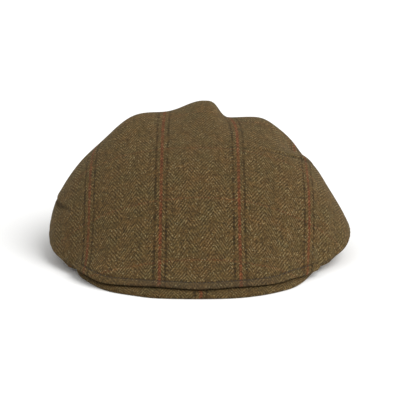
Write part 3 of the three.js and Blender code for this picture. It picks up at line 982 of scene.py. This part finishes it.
# %% Shape the side panels
panel_outer = in_plane(angles, panel_line[..., 0], panel_line[..., 1])
# Painted shade down the back seam, as a share of that at the upper seam
back_painted_shade = 0.7  # as much of the dust of the upper seam
to_foot = down - row_places
calm = (1 - bell(row_places / calm_edge)) * (1 - bell(to_foot / calm_edge))
shift = dent_height * dents(panel_outer, 7) * calm + eased(angles, row_places) * calm
back_seam = bell(panel_outer[..., 0] / groove_width) * (panel_outer[..., 1] > head_centre)
shift = shift - groove_depth * back_seam * calm
# Painted shade along the upper seam and the back seam
panel_painted_shade = sewn[:, None] * bell(row_places / seam_shade) + back_painted_shade * back_seam**2
panel_painted_shade = seam_painted_shade * panel_painted_shade
panel_outer = panel_outer + normals(panel_outer, True) * shift[..., None]
mitre_points = in_plane(angles, mitre[:, 0], mitre[:, 1])
panel_inner = close_in(panel_outer[:, ::-1], mitre_points, row_places[:, ::-1])[:, ::-1]

foot = panel_line[:, -1]
downward = np.zeros_like(foot) + [0, -1]
unsewn = np.zeros(len(angles))
panel_front = stack_rows(panel_outer, [turned(foot, downward, t, foot, unsewn) for t in hem_turns])
panel_back = stack_rows(
    panel_inner, [turned(foot, downward, math.pi - t, foot, unsewn) for t in hem_turns]
)
print("rows on each side of a panel:", panel_front.shape[1])

# %% Make the side panels
seam_steps = np.linalg.norm(np.diff(in_plane(angles, edge_out, edge_up), axis=0), axis=1)
round_seam = np.concatenate([[0], np.cumsum(seam_steps)])
panel_guess = np.stack([np.repeat(round_seam[:, None], row_places.shape[1], 1), row_places], -1)
row_choice = np.arange(0, panel_outer.shape[1], panel_laid["rows"])
start = math.radians(panel_start) - 1e-6
all_planes = np.arange(len(angles))
panel_planes = {
    "left": np.concatenate([all_planes[-1:], all_planes[angles < -start]]),
    "right": all_planes[angles > start],
}
panel_cloths = {}
for side, planes in panel_planes.items():
    front, back = panel_front[planes], panel_back[planes]
    # Both share the plane at the back, so each one's end is moved a little to its own side
    end, sign = (0, -1) if side == "left" else (-1, 1)
    front[end, :, 0] = back[end, :, 0] = sign * gap / 4
    guess = panel_guess[planes]
    guess[end] = 2 * guess[end - sign] - guess[end - 2 * sign]
    plane_choice = np.linspace(0, len(planes) - 1, panel_laid["planes"])
    plane_choice = np.unique(plane_choice.astype(int))
    laid = threads(panel_outer[planes], guess, False, plane_choice, row_choice)
    panel_cloths[side] = cloth(f"{side}_panel_cloth", front, back, carry_on(laid))
    mark(panel_cloths[side], "painted_shade", panel_painted_shade[planes], np.zeros((len(planes), 1)))

# %% [markdown]
# The peak.
# The cloth is drawn tight over the board and round its lip. Sections run from the lip to the
# rim, close together round the lip, which is a half circle as thick as the board. The board is a
# crescent, so its sections go on past the side panels' front ends to two narrow tips.

# %% Make the peak
lip_turns = np.radians([5, 16, 28, 40, 52, 64, 77, 90])
peak_rows = 16
tip_width = 5 * MM
tip_search = 75  # degrees from the front, where the crescent has surely ended
peak_angles = np.arange(-tip_search, tip_search + turn_step, turn_step, dtype=float)
peak_angles = np.radians(peak_angles)
board_width = peak_radius(peak_angles) - oval_radius(peak_angles, gap)
peak_angles = peak_angles[board_width > tip_width]
half_board = peak_wall / 2
outer = peak_radius(peak_angles)[:, None]
inner = oval_radius(peak_angles, gap)[:, None]
lip_share = half_board * (1 - np.cos(lip_turns)) / (outer - inner)
on_flat = lip_share[:, -1:] + (1 - lip_share[:, -1:]) * np.linspace(0, 1, peak_rows + 1)[1:]
share = np.concatenate([lip_share, on_flat], 1)
half = half_board * np.concatenate([np.sin(lip_turns), np.ones(peak_rows)])
plan_out = outer - share * (outer - inner)
board = peak_underside(peak_angles[:, None], share) + half_board
top, bottom = (in_plane(peak_angles, plan_out, board + side * half) for side in (1, -1))
turn_left = np.concatenate([math.pi / 2 - lip_turns, np.zeros(peak_rows)])
peak_weaves = []
for side in (1, -1):
    wrapped = half_board * (turn_left if side == 1 else math.pi - turn_left)
    peak_weaves.append(in_plane(peak_angles, plan_out + wrapped, 0 * plan_out)[..., :2])
peak_cloth = cloth("peak_cloth", top, bottom, np.stack(peak_weaves))
print("tips at", np.degrees(peak_angles[[0, -1]]).round(), "degrees from the front")

# %% [markdown]
# The sweatband.
# A strip of plain twill, bent to the oval of the head and joined at the back. It keeps the tweed
# off the brow, and from the table it is the first thing a hand feels inside.

# %% Make the sweatband
band_rows = 9
band_planes = 241
band_seam = 0.1  # degrees from the middle of the back to each end of the strip
rim_width = 0.43 * band_wall  # half of the wall, less a narrow flat at its rims
rim_roundness = 0.3  # below 1 the wall is soon at its full thickness
band_angles = np.radians(np.linspace(band_seam - 180, 180 - band_seam, band_planes))
foot_height = rim_height(head_centre - oval_radius(band_angles, 0) * np.cos(band_angles))
climb = band_height * smooth_step(np.linspace(0, 1, band_rows))
band_up = foot_height[:, None] + climb
edge_round = np.sin(np.pi * np.linspace(0, 1, band_rows)) ** rim_roundness
edge_round = rim_width * (1 - edge_round)
walls = []
for clearance, sign in ((0, -1), (-band_wall, 1)):
    radius = oval_radius(band_angles, clearance)[:, None] + sign * edge_round
    walls.append(in_plane(band_angles, radius, band_up))
band_length = lengths(walls[0][:, 0][None])[0]
band_weave = np.stack(np.broadcast_arrays(band_length[:, None], climb), -1)
band_cloth = cloth("band_cloth", walls[0], walls[1], band_weave)
print("round the head, inside:", round(float(lengths(walls[1][:, 4][None])[0, -1] / MM)), "mm")

# %% [markdown]
# Stitches.
# A row of stitches could be a texture, but each one catches light and throws a shadow of its own.
# So each is a short spindle of thread that dips into the cloth at both ends, and all the stitches
# of one row are a single mesh. One row holds the hem over the peak, the other holds the sweatband.

# %% Make a row of stitches
stitch = {"length": 2.7 * MM, "space": 0.8 * MM, "radius": 0.27 * MM, "lift": 0.16 * MM}
end_radius = 0.35  # of a stitch's radius, where it dips into the cloth
thread_sides = 6
thread_rings = 5


def sew(name, path, away):
    """Stitches along a path of points, standing a little off the cloth, away from it."""
    length = lengths(path[None])[0]
    every = stitch["length"] + stitch["space"]
    starts = np.arange(stitch["space"], length[-1] - stitch["length"], every)
    share = np.linspace(0, 1, thread_rings)
    places = starts[:, None] + stitch["length"] * share
    line = np.stack([np.interp(places, length, path[:, k]) for k in range(3)], -1)
    up = unit(np.stack([np.interp(places, length, away[:, k]) for k in range(3)], -1))
    rise = stitch["lift"] * (2 * np.sin(np.pi * share) - 1)
    line = line + up * rise[:, None]
    along = unit(np.gradient(line, axis=1))
    side = np.cross(along, up)
    turn = np.arange(thread_sides) * 2 * math.pi / thread_sides
    radius = end_radius + (1 - end_radius) * np.sin(np.pi * share) ** 0.5
    radius = stitch["radius"] * radius
    ring = up[:, :, None] * np.cos(turn)[:, None] + side[:, :, None] * np.sin(turn)[:, None]
    points = line[:, :, None] + ring * radius[:, None, None]
    number = np.arange(points[..., 0].size).reshape(len(starts), thread_rings, thread_sides)
    faces = []
    for one in number:
        faces += grid_faces(one.T, True).tolist()
        faces += [one[0, ::-1].tolist(), one[-1].tolist()]
    flat = np.zeros((points[..., 0].size, 2))
    print(name, "stitches:", len(starts))
    return mesh_object(name, points.reshape(-1, 3), faces, flat)


print("stitches in 10 cm:", round(100 * MM / (stitch["length"] + stitch["space"])))

# %% Sew
def ring_at(distance, planes):
    """Points and outward normals of the crown at one distance from its edge."""
    away = normals(crown_outer, True)
    found = [[], []]
    for plane in planes:
        for grid, kept in zip((crown_outer, away), found):
            place = from_edge[plane][::-1]
            kept.append([np.interp(distance, place, grid[plane, ::-1, k]) for k in range(3)])
    return np.array(found[0]), np.array(found[1])


front_planes = all_planes[np.abs(angles) < math.radians(free_until - 1)]
front_stitches = sew("front_stitches", *ring_at(stitch_line, front_planes))
band_sewn_at = 4 * MM
band_inside = oval_radius(band_angles, -band_wall)
band_path = in_plane(band_angles, band_inside, foot_height + band_sewn_at)
into_head = in_plane(band_angles, -np.ones(band_planes), 0 * foot_height) - [0, head_centre, 0]
band_stitches = sew("band_stitches", band_path, into_head)

# %% [markdown]
# Colours and nodes.
# Colours are picked as sRGB, which is how a screen shows them, and Blender works with linear
# light, so one function turns them round. One more function adds a node with its settings and
# links, which keeps a node tree readable as a list of steps.

# %% Two helpers for materials
def srgb(code):
    """A linear colour from an sRGB hex code."""
    parts = [int(code[i : i + 2], 16) / 255 for i in (1, 3, 5)]
    linear = [c / 12.92 if c <= 0.04045 else ((c + 0.055) / 1.055) ** 2.4 for c in parts]
    return (*linear, 1)


def add(material, kind, inputs=None, **settings):
    """Add a node: settings are its properties, inputs are values or what is linked to them."""
    node = material.node_tree.nodes.new(kind)
    for name, value in settings.items():
        setattr(node, name, value)
    for key, value in (inputs or {}).items():
        if isinstance(value, bpy.types.Node):
            value = next(socket for socket in value.outputs if socket.enabled)
        if isinstance(value, bpy.types.NodeSocket):
            material.node_tree.links.new(value, node.inputs[key])
        else:
            node.inputs[key].default_value = value
    return node


def new_material(name):
    """A material with an empty tree and a shader linked to its output."""
    material = bpy.data.materials.new(name)
    material.use_nodes = True
    material.node_tree.nodes.clear()
    shader = add(material, "ShaderNodeBsdfPrincipled")
    add(material, "ShaderNodeOutputMaterial", {"Surface": shader})
    return material, shader


MATH, MIX, VECTOR = "ShaderNodeMath", "ShaderNodeMix", "ShaderNodeCombineXYZ"
NOISE, BUMP = "ShaderNodeTexNoise", "ShaderNodeBump"
print("linear light of the tweed's brown:", [round(c, 3) for c in srgb("#62503a")[:3]])

# %% [markdown]
# Herringbone tweed.
# Tweed is woven of carded woollen yarn and milled a little. In a 2/2 twill each warp end goes over
# two picks and under two, one pick later than its neighbour, and that draws a slanting line. In a
# herringbone the slant turns back, here every 17 ends, which makes ribs 10.3 mm wide. Every
# sixth rib four red ends run between two bands of three dark ones, and a few red picks cross them:
# the overcheck. An image could hold all that, but counting ends and picks in nodes stays sharp
# close up, and says how the cloth is woven. Real yarn lies a little closer than this and hardly
# shows at the render's size, so the picks are drawn slightly coarser.

# %% Name the yarns
END_PITCH = 0.607  # millimetres from one warp end to the next
PICK_PITCH = 1.05  # millimetres from one weft pick to the next
RIB_ENDS = 17
REPEAT = 6 * RIB_ENDS * END_PITCH
FIRST_RED = -30.9  # millimetres from the middle of the crown
RED_PICK = -3.5  # millimetres from the first pick to a red one
MOSS = "#6b6042"  # the lighter warp, a green-brown that gives the cloth its olive cast
BRACKEN = "#574728"  # the same warp where redder wool was carded in
PEAT = "#382b0d"  # the dark weft, seen between the warp ends
UMBER = "#3e2c12"  # the weft where it is redder
RUST = "#6c2618"  # the red ends of the overcheck
BLACKTHORN = "#100e09"  # the dark ends beside them, which show as two dotted lines
FLECK = "#9b8e69"  # stray pale fibres that catch the light as small points
HEM = "#3f352a"  # the pressed hem, smoother and greyer
SHADE = "#0d0906"  # the bottom of a crease or stitch channel, out of the light
SHEEN = "#b9a674"  # light in the loose fibres, as pale and yellow as they are
print("ribs", round(RIB_ENDS * END_PITCH, 1), "mm wide, red stripes every", round(REPEAT, 1), "mm")

# %% [markdown]
# Ends and picks.
# The UV map holds millimetres along the threads. Divided by the yarns' spacing and rounded down,
# they count the yarn that a point lies on. An end is on top at two picks of every four, and in
# every other rib the count of ends runs the other way round, which turns the slant back.

# %% Count the ends and picks
def count_yarns(wool, red_at, slip):
    """The end and the pick at each point, and whether the end lies on top there."""
    weave = add(wool, "ShaderNodeUVMap", uv_map="weave")
    place = add(wool, "ShaderNodeSeparateXYZ", {0: weave})
    across = add(wool, MATH, {0: place.outputs[0], 1: red_at}, operation="SUBTRACT")
    along = add(wool, MATH, {0: place.outputs[1], 1: slip}, operation="ADD")
    end_count = add(wool, MATH, {0: across, 1: END_PITCH}, operation="DIVIDE")
    pick_count = add(wool, MATH, {0: along, 1: PICK_PITCH}, operation="DIVIDE")
    end = add(wool, MATH, {0: end_count}, operation="FLOOR")
    pick = add(wool, MATH, {0: pick_count}, operation="FLOOR")
    rib = add(wool, MATH, {0: end, 1: RIB_ENDS}, operation="DIVIDE")
    rib = add(wool, MATH, {0: rib}, operation="FLOOR")
    odd = add(wool, MATH, {0: rib, 1: 2}, operation="FLOORED_MODULO")
    lean = add(wool, MATH, {0: odd, 1: -2, 2: 1}, operation="MULTIPLY_ADD")
    turn = add(wool, MATH, {0: end, 1: lean, 2: pick}, operation="MULTIPLY_ADD")
    turn = add(wool, MATH, {0: turn, 1: 4}, operation="FLOORED_MODULO")
    warp_up = add(wool, MATH, {0: turn, 1: 1.5}, operation="LESS_THAN")
    return dict(
        weave=weave,
        across=across,
        along=along,
        end_count=end_count,
        pick_count=pick_count,
        end=end,
        pick=pick,
        warp_up=warp_up,
    )


print("the slant repeats every", 4 * PICK_PITCH, "mm along an end")

# %% [markdown]
# Dyed wool.
# Wool is dyed before it is spun, so a yarn changes colour along its length. A noise read at the
# yarn's own number and slowly along it does that: neighbours differ, and each one keeps its
# colour for a while. A noise lies around 0.5, so it is stretched to run from one colour to the
# other.

# %% Dye the yarns
ALONG_YARN = 0.2  # how slowly a colour changes along a yarn
DYE_SCALE = 0.9
DYE_SHARE = {1: 3, 2: -1}  # times the noise, and added to it
DYE_APART = 9  # keeps the weft's noise apart from the warp's
WARP = ("end", "along", srgb(MOSS), srgb(BRACKEN))
WEFT = ("pick", "across", srgb(PEAT), srgb(UMBER))


def dye(wool, yarn):
    """The colours of the warp and of the weft."""
    colours = []
    for number, length, first, second in (WARP, WEFT):
        run = add(wool, MATH, {0: yarn[length], 1: ALONG_YARN}, operation="MULTIPLY")
        spot = add(wool, VECTOR, {0: yarn[number], 1: run, 2: len(colours) * DYE_APART})
        dyed = add(wool, NOISE, {"Vector": spot, "Scale": DYE_SCALE, "Detail": 1})
        share = add(wool, MATH, {0: dyed, **DYE_SHARE}, operation="MULTIPLY_ADD")
        colours.append(add(wool, MIX, {0: share, 6: first, 7: second}, data_type="RGBA"))
    return colours


print("a colour lasts for about", round(1 / (ALONG_YARN * DYE_SCALE), 1), "mm along a yarn")

# %% [markdown]
# The overcheck.
# `PINGPONG` measures the distance to the nearest red stripe, and everything near it is a matter
# of counting ends. The red isn't laid on at full strength, because some brown wool is spun in
# with it, and a little of it shows through the weft that crosses it. The red picks are fainter
# still: in this cloth they only show as a warmer line here and there.

# %% Weave in the overcheck
RED_ENDS = 2  # on each side of a stripe's middle
DARK_ENDS = {"from_red": 7.5, "within": 1.2}  # ends from the stripe's middle: the 7th to the 9th
RED_PICKS = 1.1  # on each side, which makes two or three picks red
STRENGTH = {"red": 0.62, "dark": 0.92, "red on weft": 0.45, "red pick": 0.2}


def overcheck(wool, yarn, warp, weft, repeat):
    """The warp and the weft with red and dark stripes in them."""
    centre = {0: yarn["end"], 1: END_PITCH, 2: END_PITCH / 2}
    centre = add(wool, MATH, centre, operation="MULTIPLY_ADD")
    to_red = add(wool, MATH, {0: centre, 1: repeat / 2}, operation="PINGPONG")
    red = add(wool, MATH, {0: to_red, 1: RED_ENDS * END_PITCH}, operation="LESS_THAN")
    red = add(wool, MATH, {0: red, 1: STRENGTH["red"]}, operation="MULTIPLY")
    warp = add(wool, MIX, {0: red, 6: warp, 7: srgb(RUST)}, data_type="RGBA")
    red = add(wool, MATH, {0: red, 1: STRENGTH["red on weft"]}, operation="MULTIPLY")
    weft = add(wool, MIX, {0: red, 6: weft, 7: srgb(RUST)}, data_type="RGBA")

    dark = {0: to_red, 1: DARK_ENDS["from_red"] * END_PITCH, 2: DARK_ENDS["within"] * END_PITCH}
    dark = add(wool, MATH, dark, operation="COMPARE")
    dark = add(wool, MATH, {0: dark, 1: STRENGTH["dark"]}, operation="MULTIPLY")
    warp = add(wool, MIX, {0: dark, 6: warp, 7: srgb(BLACKTHORN)}, data_type="RGBA")

    centre = {0: yarn["pick"], 1: PICK_PITCH, 2: RED_PICK}
    centre = add(wool, MATH, centre, operation="MULTIPLY_ADD")
    to_pick = add(wool, MATH, {0: centre, 1: repeat / 2}, operation="PINGPONG")
    red = add(wool, MATH, {0: to_pick, 1: RED_PICKS * PICK_PITCH}, operation="LESS_THAN")
    red = add(wool, MATH, {0: red, 1: STRENGTH["red pick"]}, operation="MULTIPLY")
    weft = add(wool, MIX, {0: red, 6: weft, 7: srgb(RUST)}, data_type="RGBA")
    return warp, weft


print("a red stripe is", round(2 * RED_ENDS * END_PITCH, 1), "mm wide")

# %% [markdown]
# Milling and carding.
# Milling felts the surface, so in places the pattern sinks into an even heather. Wool is never
# mixed quite evenly either: there are redder blotches about a finger wide, and carding leaves
# lighter and darker places a few yarns wide. Last, each crossing of two yarns is a little lighter
# or darker than the next, and a few hold a pale fibre. White noise gives every crossing a number
# of its own. Each noise is multiplied and added to, to give the share or the shade that it needs.

# %% Mill the cloth
PATCH = 11  # millimetres across a felted patch
FELTING = {1: 2.4, 2: -0.85}  # times the noise, and added to it
FELTED = {1: 0.1, 2: 0.75}  # at least and at most
BLOTCHES = {1: 2.6, 2: -0.8}
BLOTCH_SLICE = 4  # another slice of the noise, so that blotches don't follow the felting
REDDER = (1.14, 0.96, 0.9, 1)  # times the cloth's own red, green and blue light
CARDING = {1: 1.5, 2: 0.21}
GRAIN = {1: 1.1, 2: 0.45}
PALE = {"share": 0.015, "strength": 0.5}  # a share of all crossings


def mill(wool, yarn, colour, weft):
    """The colour of woven yarn once it is felted, blotched and grained."""
    patch = {0: yarn["weave"], 1: (1 / PATCH,) * 3}
    spot = add(wool, "ShaderNodeVectorMath", patch, operation="MULTIPLY")
    felting = add(wool, NOISE, {"Vector": spot, "Scale": 1, "Detail": 2})
    felting = add(wool, MATH, {0: felting, **FELTING}, operation="MULTIPLY_ADD")
    felting = add(wool, "ShaderNodeClamp", {0: felting, **FELTED})
    heather = add(wool, MIX, {0: 0.5, 6: weft, 7: srgb(BRACKEN)}, data_type="RGBA")
    colour = add(wool, MIX, {0: felting, 6: colour, 7: heather}, data_type="RGBA")

    blotch = {"Vector": spot, "Scale": 0.8, "Detail": 3, "W": BLOTCH_SLICE}
    blotch = add(wool, NOISE, blotch, noise_dimensions="4D")
    blotch = add(wool, MATH, {0: blotch, **BLOTCHES}, operation="MULTIPLY_ADD")
    redder = {0: blotch, 6: colour, 7: REDDER}
    colour = add(wool, MIX, redder, data_type="RGBA", blend_type="MULTIPLY")

    carding = add(wool, NOISE, {"Vector": spot, "Scale": 3.4, "Detail": 2})
    carding = add(wool, MATH, {0: carding, **CARDING}, operation="MULTIPLY_ADD")
    crossing = add(wool, VECTOR, {0: yarn["end"], 1: yarn["pick"]})
    grain = add(wool, "ShaderNodeTexWhiteNoise", {"Vector": crossing})
    shade = add(wool, MATH, {0: grain, **GRAIN}, operation="MULTIPLY_ADD")
    shade = add(wool, MATH, {0: shade, 1: carding}, operation="MULTIPLY")
    shades = add(wool, VECTOR, {0: shade, 1: shade, 2: shade})
    shaded = {0: 1, 6: colour, 7: shades}
    colour = add(wool, MIX, shaded, data_type="RGBA", blend_type="MULTIPLY")
    pale = add(wool, MATH, {0: grain, 1: 1 - PALE["share"]}, operation="GREATER_THAN")
    pale = add(wool, MATH, {0: pale, 1: PALE["strength"]}, operation="MULTIPLY")
    return add(wool, MIX, {0: pale, 6: colour, 7: srgb(FLECK)}, data_type="RGBA")


print("one crossing in", round(1 / PALE["share"]), "holds a pale fibre")

# %% [markdown]
# Relief, and the three cuts of tweed.
# Every yarn is a small round cord, and the one that floats on top stands up, so a bump of two
# sines lets the weave catch the light. Wool scatters light in all directions, with a faint sheen
# from its loose fibres, so it is rough and hardly glossy. The crown, the panels and the peak are
# cut from one cloth, and differ only in where its stripes fall.

# %% Weave the tweed
YARN_HEIGHT = 0.12 * MM
# The second mark paints shade into seams, creases and the stitch channel
MARKS = (("hem", 0.35, HEM), ("painted_shade", 0.9, SHADE))  # each with its full strength and its colour


def tweed(name, red_at, slip=0.0, repeat=REPEAT, weft_share=0.0):
    """Herringbone tweed with a red stripe at red_at; that, slip and repeat are millimetres."""
    wool, shader = new_material(name)
    yarn = count_yarns(wool, red_at, slip)
    warp, weft = overcheck(wool, yarn, *dye(wool, yarn), repeat)
    colour = add(wool, MIX, {0: yarn["warp_up"], 6: weft, 7: warp}, data_type="RGBA")
    colour = mill(wool, yarn, colour, weft)
    for attribute, strength, tone in MARKS:
        marked = add(wool, "ShaderNodeAttribute", attribute_name=attribute)
        share = add(wool, MATH, {0: marked.outputs["Fac"], 1: strength}, operation="MULTIPLY")
        colour = add(wool, MIX, {0: share, 6: colour, 7: srgb(tone)}, data_type="RGBA")
    colour = add(wool, MIX, {0: weft_share, 6: colour, 7: srgb(PEAT)}, data_type="RGBA")

    rounds = []
    for count in ("end_count", "pick_count"):
        part = add(wool, MATH, {0: yarn[count]}, operation="FRACT")
        part = add(wool, MATH, {0: part, 1: math.pi}, operation="MULTIPLY")
        rounds.append(add(wool, MATH, {0: part}, operation="SINE"))
    relief = add(wool, MIX, {0: yarn["warp_up"], 2: rounds[1], 3: rounds[0]})
    bump = add(wool, BUMP, {"Height": relief, "Distance": YARN_HEIGHT, "Strength": 0.7})

    links = wool.node_tree.links
    links.new(colour.outputs[2], shader.inputs["Base Color"])
    links.new(bump.outputs[0], shader.inputs["Normal"])
    shader.inputs["Roughness"].default_value = 0.95
    shader.inputs["Specular IOR Level"].default_value = 0.2
    shader.inputs["Sheen Weight"].default_value = 0.1
    shader.inputs["Sheen Roughness"].default_value = 0.6
    shader.inputs["Sheen Tint"].default_value = srgb(SHEEN)
    print(name, "nodes:", len(wool.node_tree.nodes))
    return wool


crown_tweed = tweed("herringbone_tweed_crown", FIRST_RED)
panel_tweed = tweed("herringbone_tweed_panels", red_at=18.0)
# One stripe falls in the middle of the peak, and the board stretches its cloth till weft shows
one_stripe = {"red_at": 0.6, "slip": 3.0, "repeat": 4 * REPEAT}
peak_tweed = tweed("herringbone_tweed_peak", **one_stripe, weft_share=0.12)

# %% [markdown]
# Twill and thread.
# The sweatband is a close cotton twill, dyed near black, with a low diagonal ridge. The sewing
# thread is waxed, so it is a little smoother than wool. Both are mottled a little, as dyed cotton
# is. A twill's ridges are too fine to be seen from the camera, so they are drawn about twice as
# wide as they are. The thread's own twist is finer still, and is left out.

# %% Make the plain materials
TWILL = "#2b2622"  # near black, which doesn't show the brow's marks
WAXED = "#2a2017"  # dark brown, a shade deeper than the cloth, so that a row reads as a line
MOTTLE = 0.8  # the darker places, as a share of the lighter
SPOTS = 0.3 / MM  # places about 3 mm wide


def plain(name, code, roughness, ridges=0, depth=0.0):
    """One colour, with slanting ridges across the threads where they are asked for."""
    material, shader = new_material(name)
    shader.inputs["Roughness"].default_value = roughness
    place = add(material, "ShaderNodeTexCoord").outputs["Object"]
    mottle = add(material, NOISE, {"Vector": place, "Scale": SPOTS, "Detail": 3})
    light, dark = srgb(code), (*(c * MOTTLE for c in srgb(code)[:3]), 1)
    colour = add(material, MIX, {0: mottle, 6: light, 7: dark}, data_type="RGBA")
    material.node_tree.links.new(colour.outputs[2], shader.inputs["Base Color"])
    if ridges:
        weave = add(material, "ShaderNodeUVMap", uv_map="weave")
        # The texture's own waves are pi / 5 apart
        slant = {"Vector": weave, "Scale": math.pi / 5 / ridges, "Distortion": 0.4}
        twill = add(material, "ShaderNodeTexWave", slant, bands_direction="DIAGONAL")
        bump = {"Height": twill, "Distance": depth * MM, "Strength": 0.6}
        bump = add(material, BUMP, bump)
        material.node_tree.links.new(bump.outputs[0], shader.inputs["Normal"])
    print(name, "roughness:", roughness)
    return material


band_twill = plain("cotton_twill_dark", TWILL, 0.8, ridges=1.6, depth=0.15)
thread = plain("waxed_sewing_thread", WAXED, 0.7)

# %% [markdown]
# Dress the solids.
# Each piece gets its material and rides on the cap's one body, in the place of a solid. The
# solids stay in the file for weight and touch, but don't show.

# %% Dress the solids
dressed = (
    (crown_cloth, crown_tweed, "tweed"),
    (panel_cloths["left"], panel_tweed, "tweed"),
    (panel_cloths["right"], panel_tweed, "tweed"),
    (peak_cloth, peak_tweed, "tweed"),
    (band_cloth, band_twill, "band"),
    (front_stitches, thread, "tweed"),
    (band_stitches, thread, "band"),
)
for piece, material, slot in dressed:
    piece.data.materials.append(material)
    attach(piece, "root")
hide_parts("crown_top")
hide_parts("side_left")
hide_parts("side_right")
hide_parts("peak")
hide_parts("sweatband")
print("dressed pieces:", len(dressed))

# %% [markdown]
# Table and light.
# The cap lies on a white table in soft light. A sun lamp with a wide angle is like a large soft
# window far away: it lights the table evenly to its edges, and its shadows have no hard rim. It
# comes from the front and the right, as in the picture, and a white world fills in the rest.

# %% Set the stage
LAMINATE = "#fbfbfa"  # white and matt, so that the table stays even around the cap
SKY = 0.68  # the world's strength
reach = 6  # metres of table on every side
floor_corners = [(-reach, -reach, 0), (reach, -reach, 0), (reach, reach, 0), (-reach, reach, 0)]
floor_mesh = bpy.data.meshes.new("table")
floor_mesh.from_pydata(floor_corners, [], [(0, 1, 2, 3)])
laminate, laminate_shader = new_material("white_table_laminate")
laminate_shader.inputs["Base Color"].default_value = srgb(LAMINATE)
laminate_shader.inputs["Roughness"].default_value = 0.9
floor_mesh.materials.append(laminate)
floor = bpy.data.objects.new("table", floor_mesh)
bpy.context.collection.objects.link(floor)

world = bpy.data.worlds.new("studio")
world.use_nodes = True
world.node_tree.nodes["Background"].inputs["Color"].default_value = (1, 1, 1, 1)
world.node_tree.nodes["Background"].inputs["Strength"].default_value = SKY
bpy.context.scene.world = world
bpy.context.scene.view_settings.view_transform = "Standard"
print("table:", 2 * reach, "m wide")

# %% Light the cap
WINDOW = {"towards": Vector((0.95, -0.55, 1.15)), "strength": 2.4, "spread": 55}


def sun(name, towards, strength, spread):
    """A soft sun that shines from a direction seen from the cap."""
    data = bpy.data.lights.new(name, "SUN")
    data.energy = strength
    data.angle = math.radians(spread)
    light = bpy.data.objects.new(name, data)
    light.location = towards
    light.rotation_euler = towards.to_track_quat("Z", "Y").to_euler()
    bpy.context.collection.objects.link(light)
    print(name, "shines down at", round(math.degrees(math.asin(towards.normalized().z))), "degrees")


sun("window", **WINDOW)
